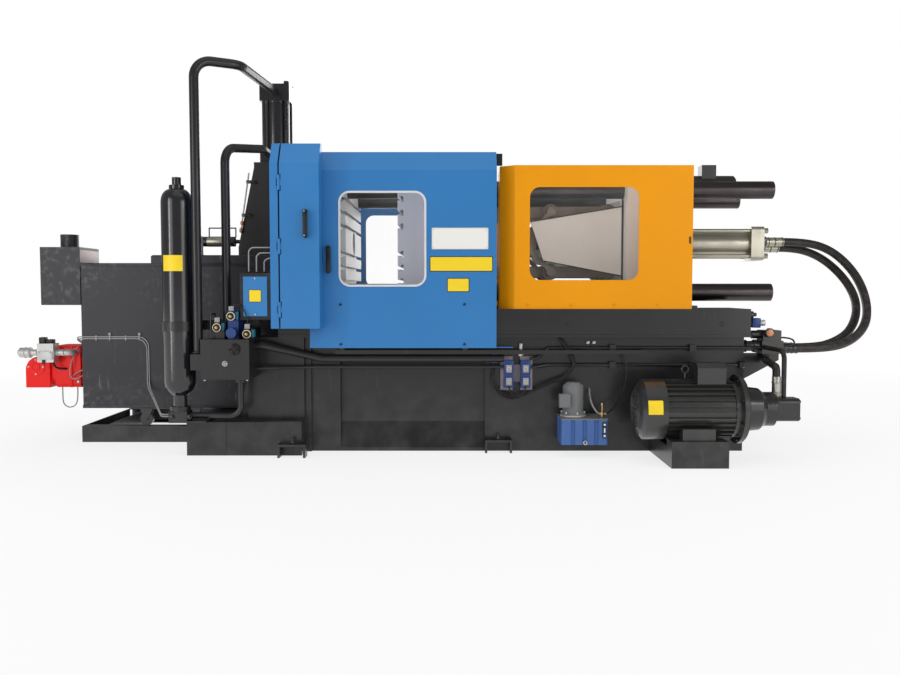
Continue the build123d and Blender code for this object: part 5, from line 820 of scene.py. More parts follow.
@dataclass
class Studio:
    """White floor and surroundings, soft lamps, and the camera at the photograph's angle."""

    camera_back: float = 6.815
    camera_height: float = 1.127
    tilt_down: float = 3.17
    lens: float = 34.28
    sensor: float = 36.0
    floor_size: float = 60.0
    sky: float = 0.74
    mirrored_sky: float = 0.25
    floor_color: Color = (0.88, 0.88, 0.88, 1.0)
    shadow_fade: Spot = (3.0, 8.0)
    near_white: float = 0.78
    lamps: tuple[tuple[str, Point, Point, tuple[float, float], float], ...] = (
        ("overhead_softbox", (0.0, -2.0, 5.6), (0.0, 0.2, 0.9), (5.5, 5.5), 36.0),
        ("front_left_softbox", (-5.0, -6.2, 2.0), (-0.6, 0.0, 0.9), (3.2, 3.2), 52.0),
        ("front_right_softbox", (5.2, -6.0, 1.9), (0.8, 0.0, 0.9), (3.2, 3.2), 54.0),
        ("left_strip", (-4.4, -4.2, 1.7), (-1.8, -0.9, 1.2), (0.35, 3.0), 26.0),
        ("right_strip", (4.8, -3.6, 2.6), (2.0, -0.5, 1.0), (3.0, 0.35), 26.0),
        ("rear_softbox", (-0.3, 5.2, 2.6), (-0.3, 0.0, 1.4), (4.4, 3.6), 150.0),
    )

    def build(self) -> None:
        """Set up the whole studio."""
        bpy.context.scene.view_settings.view_transform = "Standard"
        self._camera()
        self._surroundings()
        self._floor()
        for lamp in self.lamps:
            self._lamp(*lamp)

    def _camera(self) -> None:
        """Place the camera where the photograph was taken."""
        data = bpy.data.cameras.new("camera")
        data.lens = self.lens
        data.sensor_width = self.sensor
        data.clip_end = 200.0
        made = bpy.data.objects.new("camera", data)
        made.location = (0.0, -self.camera_back, self.camera_height)
        made.rotation_euler = (math.radians(90 - self.tilt_down), 0.0, 0.0)
        bpy.context.scene.collection.objects.link(made)
        bpy.context.scene.camera = made

    def _surroundings(self) -> None:
        """Make the world white to look at, softer as a light and darker in reflections."""
        world = bpy.data.worlds.new("surroundings")
        bpy.context.scene.world = world
        nodes = Nodes(world)
        strength = nodes.rays("Camera", "Transmission") * (1.0 - self.sky) + self.sky
        strength += nodes.rays("Glossy") * (self.mirrored_sky - self.sky)
        background = nodes.tree.nodes["Background"]
        nodes.feed(background.inputs["Color"], (1.0, 1.0, 1.0, 1.0))
        nodes.feed(background.inputs["Strength"], strength)

    def _floor(self) -> None:
        """Lay a white floor that keeps a soft shadow near the machine."""
        shape = bmesh.new()
        bmesh.ops.create_grid(shape, x_segments=1, y_segments=1, size=self.floor_size / 2)
        data = bpy.data.meshes.new("studio_floor")
        shape.to_mesh(data)
        shape.free()
        made = bpy.data.objects.new("studio_floor", data)
        bpy.context.scene.collection.objects.link(made)
        recipe = Recipe("studio_floor")
        data.materials.append(recipe.surface(base_color=self.floor_color, roughness=0.9))
        reach = recipe.node("ShaderNodeVectorMath", {"operation": "LENGTH"}, {0: recipe.place}, "Value")
        near, far = self.shadow_fade
        levels = {"From Min": near, "From Max": far, "To Min": self.near_white, "To Max": 1.0}
        fade = recipe.node("ShaderNodeMapRange", {}, {"Value": reach, **levels})
        share = recipe.rays("Camera", "Transmission", "Glossy") * fade
        matt = Signal(recipe, recipe.shader.outputs[0])
        glow = recipe.node("ShaderNodeEmission", {}, {})
        mix = recipe.node("ShaderNodeMixShader", {}, {"Fac": share, 1: matt, 2: glow})
        recipe.feed(recipe.tree.nodes["Material Output"].inputs["Surface"], mix)

    def _lamp(self, name: str, at: Point, towards: Point, size: tuple[float, float], watts: float) -> None:
        """Hang one soft lamp.

        Args:
            name: Its name.
            at: Its place.
            towards: The point it faces.
            size: Its width and height.
            watts: Its power.
        """
        data = bpy.data.lights.new(name, "AREA")
        data.shape = "RECTANGLE"
        data.size, data.size_y = size
        data.energy = watts
        made = bpy.data.objects.new(name, data)
        made.location = at
        made.rotation_euler = (Vector(towards) - Vector(at)).to_track_quat("-Z", "Y").to_euler()
        bpy.context.scene.collection.objects.link(made)


def corners(node: str) -> tuple[Vector, Vector]:
    """Give a CAD node's lowest and highest corners."""
    low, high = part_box(node)
    return Vector(low), Vector(high)


def upright(y: float, spots: Iterable[Spot]) -> list[Point]:
    """Put spots given by X and Z on an upright plane at one depth."""
    return [(x, y, z) for x, z in spots]


def bolt_circle(center: Point, way: Way, radius: float, count: int, start: float = 0.0) -> list[Vector]:
    """Give points round a circle.

    Args:
        center: The circle's centre.
        way: Its axis.
        radius: Its radius.
        count: How many points.
        start: Angle of the first point, in degrees.

    Returns:
        The points.
    """
    axis = Vector(way.value)
    first = axis.orthogonal().normalized() * radius
    turns = [math.radians(start) + math.tau * i / count for i in range(count)]
    return [Vector(center) + Matrix.Rotation(turn, 3, axis) @ first for turn in turns]


def warning_plate(
    name: str, center: Point, width: float, height: float, body: Body, rim: float = 0.005
) -> None:
    """Make a bare yellow plate with a plain dark border, facing the front.

    Args:
        name: The plate's name.
        center: Middle of its back face.
        width: Size along X.
        height: Size along Z.
        body: The body that carries it.
        rim: Width of the border.
    """
    border = Piece(name + "_border", Finish.PLATE_BORDER, body)
    border.plate(center, width, height, height * 0.08, THIN).done()
    front = Vector(center) + Vector(Way.FRONT.value) * THIN
    face = Piece(name, Finish.YELLOW_PLATE, body)
    face.plate(front, width - 2 * rim, height - 2 * rim, height * 0.06, THIN / 2).done()


@dataclass
class FreeHoses:
    """The clamp cylinder's two hoses and the burner's cable loop, which hang free."""

    hose_radius: float = 0.031
    loop_radius: float = 0.0045
    outer_route: Route = (
        (2.611, -0.055, 1.504), (2.801, -0.055, 1.504), (2.976, -0.115, 1.434), (3.096, -0.225, 1.272),
        (3.129, -0.350, 1.092), (3.089, -0.480, 0.923), (2.971, -0.610, 0.808), (2.791, -0.730, 0.736),
        (2.600, -0.800, 0.718), (2.441, -0.800, 0.718),
    )
    inner_route: Route = (
        (2.611, 0.040, 1.461), (2.761, 0.040, 1.461), (2.936, 0.000, 1.390), (3.066, -0.090, 1.245),
        (3.121, -0.200, 1.085), (3.084, -0.320, 0.942), (2.951, -0.490, 0.817), (2.780, -0.615, 0.747),
        (2.600, -0.712, 0.718), (2.441, -0.712, 0.718),
    )
    loop_depth: float = -0.1625
    loop_route: Spots = (
        (-3.021, 0.375), (-3.021, 0.317), (-3.020, 0.250), (-2.994, 0.219), (-2.955, 0.212), (-2.920, 0.232),
        (-2.907, 0.270), (-2.903, 0.324), (-2.903, 0.375),
    )

    def build(self) -> None:
        """Draw the three cords, and hide the CAD solids that they stand for."""
        for node, route in (("clamp_hose_outer", self.outer_route), ("clamp_hose_inner", self.inner_route)):
            Cable(node + "_line", route, self.hose_radius, Finish.HOSE_BLACK).hang(node)
        route = upright(self.loop_depth, self.loop_route)
        loop = Cable("burner_cable_loop_line", route, self.loop_radius, Finish.CABLE_GREY)
        loop.hang("burner_cable_loop")


@dataclass
class FrontDoor:
    """What is fixed to the sliding door: window seal, plates, screws and lower strip."""

    window_center: Spot = (-0.460, 1.4745)
    window_size: Spot = (0.584, 0.635)
    window_corner: float = 0.070
    seal: float = 0.014
    seal_depth: float = 0.004
    screw_spots: Spots = ((-0.748, 1.028), (-0.748, 0.756), (0.099, 1.030), (0.099, 0.756))
    screw_radius: float = 0.008
    plate_center: Spot = (0.0685, 1.477)
    plate_size: Spot = (0.381, 0.142)
    plate_depth: float = 0.002
    plate_rim: float = 0.003
    rivet_inset: float = 0.011
    plate_corner: float = 0.006
    rim_sizes: Sizes = (0.008, 0.004, 0.0026)
    rivet: Sizes = (0.004, 0.0016)
    notices: tuple[tuple[str, Spot, Spot], ...] = (
        ("door_warning_plate", (0.077, 1.3045), (0.430, 0.103)),
        ("door_notice_plate", (0.056, 1.1615), (0.152, 0.095)),
    )
    strip: Span = ((-0.06, -0.937, 0.731), (0.116, -0.909, 0.736))

    def build(self) -> None:
        """Make every piece on the door."""
        low, high = corners("front_door_panel")
        (x, z), front = self.window_center, low.y
        width, height = (size + self.seal for size in self.window_size)
        seal = Piece("door_window_seal", Finish.PALE_SEAL, Body.DOOR)
        corner = self.window_corner + self.seal / 2
        seal.border((x, front, z), width, height, corner, self.seal, self.seal_depth).done()
        self._white_plate(front)
        for name, (x, z), size in self.notices:
            warning_plate(name, (x, front, z), *size, Body.DOOR)
        screws = Piece("door_screws", Finish.BLACK_STEEL, Body.DOOR)
        screws.spread(Piece.cap_screw, upright(front, self.screw_spots), Way.FRONT, self.screw_radius).done()
        first, last = (Vector((high.x, 0, 0)) + Vector(spot) for spot in self.strip)
        Piece("door_lower_strip", Finish.GUARD_BLUE, Body.DOOR).box(first, last, FINE_EDGE).done()

    def _white_plate(self, front: float) -> None:
        """Make the bare white plate with its metal rim and four rivets.

        Args:
            front: Depth of the door's face.
        """
        (x, z), (width, height) = self.plate_center, self.plate_size
        back, rim = (x, front, z), self.plate_rim
        plate = Piece("door_white_plate", Finish.WHITE_PLATE, Body.DOOR)
        plate.plate(back, width, height, self.plate_corner, self.plate_depth).done()
        across, up = width / 2 - self.rivet_inset, height / 2 - self.rivet_inset
        rivets = product((x - across, x + across), (front - self.plate_depth,), (z - up, z + up))
        edge = Piece("door_white_plate_border", Finish.CAST_ALUMINIUM, Body.DOOR)
        edge.border(back, width + 2 * rim, height + 2 * rim, *self.rim_sizes)
        edge.spread(Piece.stud, rivets, Way.FRONT, *self.rivet).done()


@dataclass
class SideCover:
    """Screws of the side cover's handle, the flat grips of both handles, and the seam's seal."""

    screw_inset: float = 0.014
    screw: Sizes = (0.005, 0.003)
    grip_edge: float = 0.007
    crease_radius: float = 0.011
    grip: Point = (0.032, 0.020, 0.004)
    grip_lip: float = 0.002
    seal_boxes: Boxes = (
        ((-1.160, -1.107, 0.880), (-1.148, -1.0925, 1.955), 0.001),
        ((-1.150, -1.0945, 0.880), (-1.116, -1.0925, 1.955), 0.0008),
    )
    seal_crease: Span = ((-1.134, -1.082, 1.966), (-1.134, -0.998, 2.098))

    def build(self) -> None:
        """Make every piece on the cover."""
        low, high = corners("side_cover_handle")
        middle = (low.x + high.x) / 2
        spots = [(middle, low.y, low.z + self.screw_inset), (middle, low.y, high.z - self.screw_inset)]
        screws = Piece("cover_handle_screws", Finish.ZINC, Body.COVER)
        screws.spread(Piece.stud, spots, Way.FRONT, *self.screw).done()
        width, depth, inset = self.grip
        for node, body in (("side_cover_handle", Body.COVER), ("front_door_handle", Body.DOOR)):
            low, high = corners(node)
            first = (low.x, low.y - self.grip_lip, low.z + inset)
            last = (low.x + width, low.y + depth, high.z - inset)
            Piece(node + "_grip", Finish.BLACK_PLASTIC, body).box(first, last, self.grip_edge).done()
        seal = Piece("cover_seam_seal", Finish.BLACK_PLASTIC)
        for sizes in self.seal_boxes:
            seal.box(*sizes)
        seal.rod(*self.seal_crease, self.crease_radius).done()


@dataclass
class ToggleGuard:
    """Latch and screws of the yellow guard, and behind its window a painted shadow strip and dark slope lines
    on the cheek.
    """

    latch_spot: Spot = (1.655, 1.471)
    latch: Sizes = (0.012, 0.05, 0.005, 0.003)
    screw_radius: float = 0.007
    slope_radius: float = 0.004
    first_screw: Spot = (0.19, 0.03)
    screw_pitch: float = 0.3
    screw_count: int = 4
    # Painted shadow: an upright dark strip where the gap at the cheek's edge lies in shade.
    cheek_shadow_gap: Span = ((1.275, -0.409, 1.100), (1.289, -0.403, 1.800))
    cheek_slopes: Spans = (
        ((0.602, -0.404, 1.635), (1.276, -0.404, 1.746)), ((0.698, -0.404, 1.344), (1.276, -0.404, 1.233)),
    )

    def build(self) -> None:
        """Make every piece on the guard."""
        low, _ = corners("toggle_guard")
        x, z = self.latch_spot
        Piece("guard_latch", Finish.BLACK_STEEL).plate((x, low.y, z), *self.latch).done()
        x, z = self.first_screw
        spots = [(low.x + x + i * self.screw_pitch, low.y, low.z + z) for i in range(self.screw_count)]
        screws = Piece("guard_screws", Finish.GUARD_YELLOW)
        screws.spread(Piece.cap_screw, spots, Way.FRONT, self.screw_radius).done()
        # The upright black box is painted shadow for the shaded gap at the cheek's edge; the rods are dark
        # lines along the cheek's slopes.
        edges = Piece("cheek_edges", Finish.BLACK_STEEL).box(*self.cheek_shadow_gap, FINE_EDGE)
        edges.rods(self.cheek_slopes, self.slope_radius).done()


@dataclass
class Accumulator:
    """Yellow band and collar of the pressure bottle, and the bolts of its base."""

    band: Spot = (1.252, 1.357)
    band_sweep: float = 76.0
    band_lead: float = 0.56
    band_gap: float = 0.0003
    collar_height: float = 1.785
    collar_radius: float = 0.040
    collar_tube: float = 0.007
    bolt_offsets: Point = (0.03, 0.08, 0.04)
    bolt_radius: float = 0.012

    def build(self) -> None:
        """Make every piece on the bottle."""
        low, high = corners("accumulator_bottle")
        axis = Vector(((low.x + high.x) / 2, (low.y + high.y) / 2, 0.0))
        radius = (high.x - low.x) / 2 + self.band_gap
        start = math.radians(-90 - self.band_sweep * self.band_lead)
        spot = axis + Vector((radius * math.cos(start), radius * math.sin(start), sum(self.band) / 2))
        band = Piece("bottle_band_plate", Finish.YELLOW_PLATE)
        band.wrap(spot, axis, Way.UP, self.band[1] - self.band[0], THIN, math.radians(self.band_sweep)).done()
        collar = Piece("bottle_collar", Finish.BLACK_STEEL)
        at = axis + Vector((0, 0, self.collar_height))
        collar.ring(at, Way.UP, self.collar_radius, self.collar_tube).done()
        base, _ = corners("accumulator_base")
        left, right, up = self.bolt_offsets
        spots = [(x, base.y, base.z + up) for x in (base.x + left, axis.x + right)]
        bolts = Piece("bottle_base_bolts", Finish.BLACK_STEEL)
        bolts.spread(Piece.hex_bolt, spots, Way.FRONT, self.bolt_radius).done()


@dataclass
class Manifold:
    """Ports, screws and solenoid ends of the valve manifold."""

    flange: Point = (-1.418, 0.738, 0.039)
    flange_depth: float = 0.012
    plug: Point = (-1.481, 0.644, 0.019)
    dimples: Spots = ((-1.574, 0.784), (-1.347, 0.784))
    foot_bolts: Spots = ((-1.620, 0.537), (-1.340, 0.537))
    valves: Spots = ((-0.062, 0.112), (0.032, 0.187), (0.136, 0.069))
    valve_middle: float = 0.1605
    coil_radius: float = 0.029
    flange_screw: float = 0.007
    flange_circle: float = 0.7
    flange_ring: Sizes = (0.36, 0.003)
    plug_ring: Sizes = (0.75, 0.28)
    plug_screw: float = 0.55
    plug_lift: float = 0.001
    foot_depth: float = 0.02
    coil_ring: Sizes = (0.86, 0.0035)
    coil_sleeve: Sizes = (0.58, 0.007)
    coil_nut: Sizes = (0.4, 0.013)
    sleeve_lift: float = 0.002
    coil_plug: Span = ((-0.017, 0.012, 0.034), (0.017, 0.052, 0.066))
    coil_housing: Span = ((0.022, 0.03, -0.022), (0.040, 0.09, 0.028))
    cable_start: Spots = ((0.004, 0.066), (0.018, 0.080), (0.055, 0.072))
    cable_end: Spots = ((-0.016, 0.150), (-0.001, 0.100), (0.0, 0.066))
    foot_bolt: float = 0.009
    dimple: Sizes = (0.006, 0.0015)
    coil_inset: float = 0.006
    bracket_offset: float = 0.047
    cable_depth: float = 0.032
    cable_radius: float = 0.004
    bracket_depths: Spot = (-1.12, -1.02)
    bracket_rise: float = 0.165
    bracket_radius: float = 0.006

    def build(self) -> None:
        """Make every piece on the manifold."""
        front = corners("manifold_block")[0].y
        x, z, radius = self.flange
        face = (x, front - self.flange_depth, z)
        flange = Piece("manifold_flange", Finish.BLACK_PLASTIC)
        flange.stud((x, front, z), Way.FRONT, radius, self.flange_depth, 32)
        share, tube = self.flange_ring
        flange.ring(face, Way.FRONT, radius * share, tube)
        screws = bolt_circle(face, Way.FRONT, radius * self.flange_circle, 4, DIAGONAL)
        flange.spread(Piece.cap_screw, screws, Way.FRONT, self.flange_screw).done()
        x, z, radius = self.plug
        plug = Piece("manifold_plug", Finish.ZINC)
        ring, tube = (radius * share for share in self.plug_ring)
        plug.ring((x, front - self.plug_lift, z), Way.FRONT, ring, tube)
        plug.cap_screw((x, front, z), Way.FRONT, radius * self.plug_screw)
        spots = upright(front + self.foot_depth, self.foot_bolts)
        plug.spread(Piece.hex_bolt, spots, Way.DOWN, self.foot_bolt).done()
        holes = Piece("manifold_tapped_holes", Finish.BLACK_STEEL)
        holes.spread(Piece.ring, upright(front, self.dimples), Way.FRONT, *self.dimple, 20).done()
        self._solenoids()

    def _solenoids(self) -> None:
        """Cap the three coils with cream rings, gold nuts and grey plugs."""
        high = corners("manifold_block")[1]
        radius, middle = self.coil_radius, high.x - self.valve_middle
        face = corners("manifold_valves")[0].y + radius / 3
        coils = [(middle + offset, high.z + rise - radius - self.coil_inset) for offset, rise in self.valves]
        for name, finish, shape, lift, (share, size), *sides in (
            ("solenoid_rings", Finish.CREAM, Piece.ring, 0.0, self.coil_ring),
            ("solenoid_sleeves", Finish.BLACK_PLASTIC, Piece.ring, self.sleeve_lift, self.coil_sleeve),
            ("solenoid_nuts", Finish.BRASS, Piece.stud, 0.0, self.coil_nut, HEX),
        ):
            spots = upright(face - lift, coils)
            Piece(name, finish).spread(shape, spots, Way.FRONT, radius * share, size, *sides).done()
        for name, finish, span, edge in (
            ("solenoid_plugs", Finish.CABLE_GREY, self.coil_plug, SOFT_EDGE),
            ("solenoid_coils", Finish.TEAL, self.coil_housing, WIDE_EDGE),
        ):
            boxes = Piece(name, finish)
            for spot in upright(face, coils):
                boxes.box(*(Vector(spot) + Vector(corner) for corner in span), edge)
            boxes.done()
        x, top = coils[0][0] - self.bracket_offset, high.z + self.bracket_rise
        near, far = self.bracket_depths
        spans = [((x, y, high.z), (x, y, top)) for y in (near, far)]
        spans.append(((x, near - self.bracket_radius, top), (x, far + self.bracket_radius, top)))
        Piece("manifold_bracket", Finish.BLACK_STEEL).rods(spans, self.bracket_radius).done()
        rows = zip(coils[1:], (self.cable_start, self.cable_end))
        route = [(x + out, z + up) for (x, z), offsets in rows for out, up in offsets]
        route = upright(face + self.cable_depth, route)
        Cable("solenoid_cable", route, self.cable_radius, Finish.BLACK_PLASTIC).hang()


@dataclass
class JunctionBox:
    """Door plate, screws and cable glands of the junction box."""

    plate_height: float = 1.088
    plate_size: float = 0.082
    plate_rim: float = 0.003
    screw: Sizes = (0.006, 0.003)
    gland_rise: float = 0.006
    gland: Sizes = (0.008, 0.004)
    screw_inset: float = 0.012

    def build(self) -> None:
        """Make every piece on the box."""
        low, high = corners("junction_box_door")
        middle, size = (low.x + high.x) / 2, self.plate_size
        spot = (middle, low.y, self.plate_height)
        warning_plate("box_notice_plate", spot, size, size, Body.MACHINE, self.plate_rim)
        spots = [(middle, low.y, low.z + self.screw_inset), (middle, low.y, high.z - self.screw_inset)]
        Piece("box_screws", Finish.ZINC).spread(Piece.stud, spots, Way.FRONT, *self.screw).done()
        low, high = corners("junction_box")
        y, z = (low.y + high.y) / 2, high.z + self.gland_rise
        spots = [(low.x + i * (high.x - low.x) / 4, y, z) for i in (1, 2, 3)]
        glands = Piece("box_cable_glands", Finish.BLACK_PLASTIC)
        glands.spread(Piece.ring, spots, Way.UP, *self.gland).done()


@dataclass
class Furnace:
    """Seams, cable clips and flue sheet of the furnace, and fittings and wires of its burner."""

    seam: float = 0.004
    seam_half: float = 0.012
    seam_edge: float = 0.0015
    seam_end: float = -1.5
    clip_spots: tuple[float, ...] = (-2.62, -2.52, -2.40, -2.30)
    run_height: float = 0.781
    clip: Sizes = (0.006, 0.012, 0.026, 0.010)
    clip_stud: Sizes = (0.011, 0.012)
    stud_rise: float = 0.02
    flue_top: float = 1.432
    sheet_rim: float = 0.008
    sheet_depth: float = 0.0015
    disc: Point = (-3.194, -0.231, 0.535)
    disc_ring: Sizes = (0.030, 0.004)
    disc_bolts: Sizes = (0.056, 0.006)
    joint_bolt: float = 0.008
    valve_screw: float = 0.005
    train_tube: float = 0.004
    wire_radius: float = 0.0045
    cable_radius: float = 0.008
    burner_bolts: Spots = ((-2.870, 0.42), (-2.870, 0.66))
    casing_joint: Span = ((-2.930, -0.231, 0.377), (-2.912, -0.225, 0.698))
    valve_lid: Span = ((-3.124, -0.341, 0.600), (-3.016, -0.333, 0.664))
    valve_screws: Spots = ((-3.112, 0.655), (-3.028, 0.655))
    train: Spot = (-0.283, 0.650)
    train_rings: Spots = (
        (-3.205, 0.038), (-3.240, 0.038), (-3.150, 0.026), (-2.990, 0.026), (-2.945, 0.026),
    )
    switches: Boxes = (
        ((-3.124, -0.318, 0.721), (-3.078, -0.262, 0.768), 0.004),
        ((-3.070, -0.312, 0.721), (-3.022, -0.258, 0.752), 0.004),
        ((-3.092, -0.341, 0.566), (-3.070, -0.333, 0.598), 0.002),
    )
    long_wire: Route = (
        (-2.862, -0.229, 0.690), (-2.872, -0.245, 0.670), (-2.896, -0.258, 0.600), (-2.915, -0.262, 0.530),
        (-2.918, -0.262, 0.465), (-2.886, -0.262, 0.440), (-2.840, -0.258, 0.458), (-2.790, -0.252, 0.495),
        (-2.734, -0.250, 0.520),
    )
    short_wire: Route = (
        (-2.901, -0.229, 0.466), (-2.893, -0.244, 0.476), (-2.862, -0.250, 0.496), (-2.810, -0.252, 0.520),
        (-2.734, -0.250, 0.550),
    )
    valve_cable: Route = (
        (-3.030, -0.300, 0.585), (-3.028, -0.296, 0.560), (-3.010, -0.272, 0.530), (-2.980, -0.250, 0.522),
        (-2.957, -0.229, 0.522),
    )

    def build(self) -> None:
        """Make every piece of the furnace."""
        low, high = corners("furnace_casing")
        half, run, rim = self.seam_half, self.run_height, self.sheet_rim
        seams = Piece("furnace_seams", Finish.FURNACE_GREY)
        for z in (low.z, high.z - 2 * half):
            seams.box((low.x, low.y - self.seam, z), (self.seam_end, low.y, z + 2 * half), self.seam_edge)
        seams.done()
        clips = Piece("cable_clips", Finish.CABLE_GREY)
        side, depth, down, up = self.clip
        for x in self.clip_spots:
            clips.box((x - side, low.y - depth, run - down), (x + side, low.y, run + up))
        spots = [(x, low.y, run + self.stud_rise) for x in self.clip_spots[1::2]]
        clips.spread(Piece.stud, spots, Way.FRONT, *self.clip_stud).done()
        first, last = corners("flue_box")
        sheet = Piece("flue_side_sheet", Finish.PALE_SHEET)
        edge = (last.x + self.sheet_depth, last.y - rim, self.flue_top - rim)
        sheet.box((last.x, first.y + rim, high.z + rim), edge, self.sheet_depth / 3).done()
        self._burner()

    def _burner(self) -> None:
        """Make the burner's bolts and joint, the fittings of its gas valves, and its wires."""
        bolts = Piece("burner_bolts", Finish.ZINC)
        circle, radius = self.disc_bolts
        spots = bolt_circle(self.disc, Way.FRONT, circle, 4, DIAGONAL)
        bolts.spread(Piece.hex_bolt, spots, Way.FRONT, radius)
        spots = upright(self.casing_joint[1][1], self.burner_bolts)
        bolts.spread(Piece.hex_bolt, spots, Way.FRONT, self.joint_bolt).done()
        joint = Piece("burner_casing_joint", Finish.BURNER_RED)
        joint.box(*self.casing_joint).ring(self.disc, Way.FRONT, *self.disc_ring).done()
        fittings = Piece("gas_valve_fittings", Finish.CAST_ALUMINIUM).box(*self.valve_lid)
        for x, radius in self.train_rings:
            fittings.ring((x, *self.train), Way.LEFT, radius, self.train_tube)
        spots = upright(self.valve_lid[0][1], self.valve_screws)
        fittings.spread(Piece.cap_screw, spots, Way.FRONT, self.valve_screw).done()
        switches = Piece("gas_valve_switches", Finish.BLACK_PLASTIC)
        for sizes in self.switches:
            switches.box(*sizes)
        switches.done()
        Cable("burner_wire_0", self.long_wire, self.wire_radius, Finish.CABLE_GREY).hang()
        Cable("burner_wire_1", self.short_wire, self.wire_radius, Finish.CABLE_GREY).hang()
        Cable("gas_valve_cable", self.valve_cable, self.cable_radius, Finish.BLACK_PLASTIC).hang()


@dataclass
class Injection:
    """Frame bolts, position rod with its fittings, pipe collar, and the small cylinder's barrel and bow."""

    bolt_offsets: tuple[float, ...] = (0.045, 0.18, 0.34)
    bolt_foot: Spot = (0.012, 0.060)
    bolt_radius: float = 0.010
    rod_radius: float = 0.006
    union_radius: float = 0.013
    rod_top: Point = (-1.530, -0.236, 2.017)
    rod_foot: Point = (-1.599, -0.236, 1.560)
    union_shares: Spots = ((0.02, 0.08), (0.14, 0.20))
    clip_shares: Spot = (0.30, 0.85)
    clip: Span = ((-0.010, -0.010, -0.012), (0.060, 0.018, 0.012))
    barrel: Span = ((-1.860, -0.205, 1.498), (-1.690, -0.205, 1.498))
    barrel_radius: float = 0.0395
    bow_radius: float = 0.005
    bow: Spans = (
        ((-1.847, -0.205, 1.530), (-1.847, -0.205, 1.604)),
        ((-1.850, -0.205, 1.601), (-1.640, -0.205, 1.601)),
        ((-1.643, -0.205, 1.530), (-1.643, -0.205, 1.604)),
    )
    pipe_collar: Point = (-1.6785, -1.117, 0.712)
    collar: Sizes = (0.034, 0.008)

    def build(self) -> None:
        """Make every piece of the injection unit."""
        low, _ = corners("injection_frame")
        y, z = self.bolt_foot
        spots = [(low.x + x, low.y + y, low.z + z) for x in self.bolt_offsets]
        bolts = Piece("injection_bolts", Finish.BLACK_STEEL)
        bolts.spread(Piece.hex_bolt, spots, Way.UP, self.bolt_radius).done()
        top, foot = Vector(self.rod_top), Vector(self.rod_foot)
        Piece("position_rod", Finish.ZINC).rod(foot, top, self.rod_radius).done()
        spans = [(foot.lerp(top, start), foot.lerp(top, end)) for start, end in self.union_shares]
        Piece("position_rod_fittings", Finish.COPPER).rods(spans, self.union_radius, EDGE, HEX).done()
        clips = Piece("position_rod_clips", Finish.BLACK_STEEL)
        for share in self.clip_shares:
            clips.box(*(foot.lerp(top, share) + Vector(corner) for corner in self.clip))
        clips.done()
        barrel = Piece("setting_cylinder_barrel", Finish.CYLINDER_GREY)
        barrel.rod(*self.barrel, self.barrel_radius, SOFT_EDGE, 40).done()
        Piece("setting_cylinder_bow", Finish.BLACK_STEEL).rods(self.bow, self.bow_radius).done()
        Piece("pipe_collars", Finish.BLACK_STEEL).ring(self.pipe_collar, Way.UP, *self.collar).done()


@dataclass
class ClampEnd:
    """Bolts of the gear cover, ends of the tie bars, rings of the hoses and fins of the die-height motor."""

    bar_offset: float = 0.380
    axis_height: float = 1.490
    bolt_step: float = 0.24
    bolt_inset: float = 0.03
    bolt_radius: float = 0.014
    bar_ring: Sizes = (0.062, 0.004)
    bar_stud: Sizes = (0.020, 0.003)
    ring_inset: float = 0.02
    ferrule: Sizes = (0.033, 0.0045)
    upper_ports: Spots = ((-0.055, 1.504), (0.040, 1.461))
    lower_ports: Spots = ((-0.800, 0.718), (-0.712, 0.718))
    upper_rings: Sizes = (2.495, 2.545, 2.602)
    lower_rings: Sizes = (2.372, 2.400, 2.434)
    upper_nut: Sizes = (2.4415, 2.478, 0.044)
    lower_nut: Sizes = (2.3275, 2.360, 0.043)
    fin_count: int = 7
    fin_pitch: float = 0.026
    fin_start: float = 0.05
    fin: Sizes = (0.0685, 0.003)

    def build(self) -> None:
        """Make every piece of the clamp end."""
        low, high = corners("gear_cover")
        steps, inset, end = (-self.bolt_step, 0.0, self.bolt_step), self.bolt_inset, (high.x,)
        heights = [self.axis_height + step for step in steps]
        bolts = Piece("gear_cover_bolts", Finish.BLACK_STEEL)
        for ys, zs in ((steps, (low.z + inset, high.z - inset)), ((low.y + inset, high.y - inset), heights)):
            bolts.spread(Piece.hex_bolt, product(end, ys, zs), Way.RIGHT, self.bolt_radius)
        bolts.done()
        rings = Piece("tie_bar_ends", Finish.BLACK_STEEL)
        bar_end = corners("tie_bars")[1].x
        pitch = (-self.bar_offset, self.bar_offset)
        for y, rise in product(pitch, pitch):
            z = self.axis_height + rise
            rings.ring((bar_end - self.ring_inset, y, z), Way.RIGHT, *self.bar_ring)
            rings.stud((bar_end, y, z), Way.RIGHT, *self.bar_stud)
        rings.done()
        ports = Piece("hose_ferrule_rings", Finish.BLACK_STEEL)
        for spots, xs, (first, last, radius) in (
            (self.upper_ports, self.upper_rings, self.upper_nut),
            (self.lower_ports, self.lower_rings, self.lower_nut),
        ):
            for y, z in spots:
                ports.spread(Piece.ring, product(xs, (y,), (z,)), Way.RIGHT, *self.ferrule)
                ports.rod((first, y, z), (last, y, z), radius, SOFT_EDGE, HEX)
        ports.done()
        low, high = corners("die_height_motor")
        y, z = (low.y + high.y) / 2, low.z + (high.y - low.y) / 2
        spots = [(high.x - self.fin_start - i * self.fin_pitch, y, z) for i in range(self.fin_count)]
        fins = Piece("height_motor_fins", Finish.MACHINE_GREY)
        fins.spread(Piece.ring, spots, Way.RIGHT, *self.fin, 36).done()


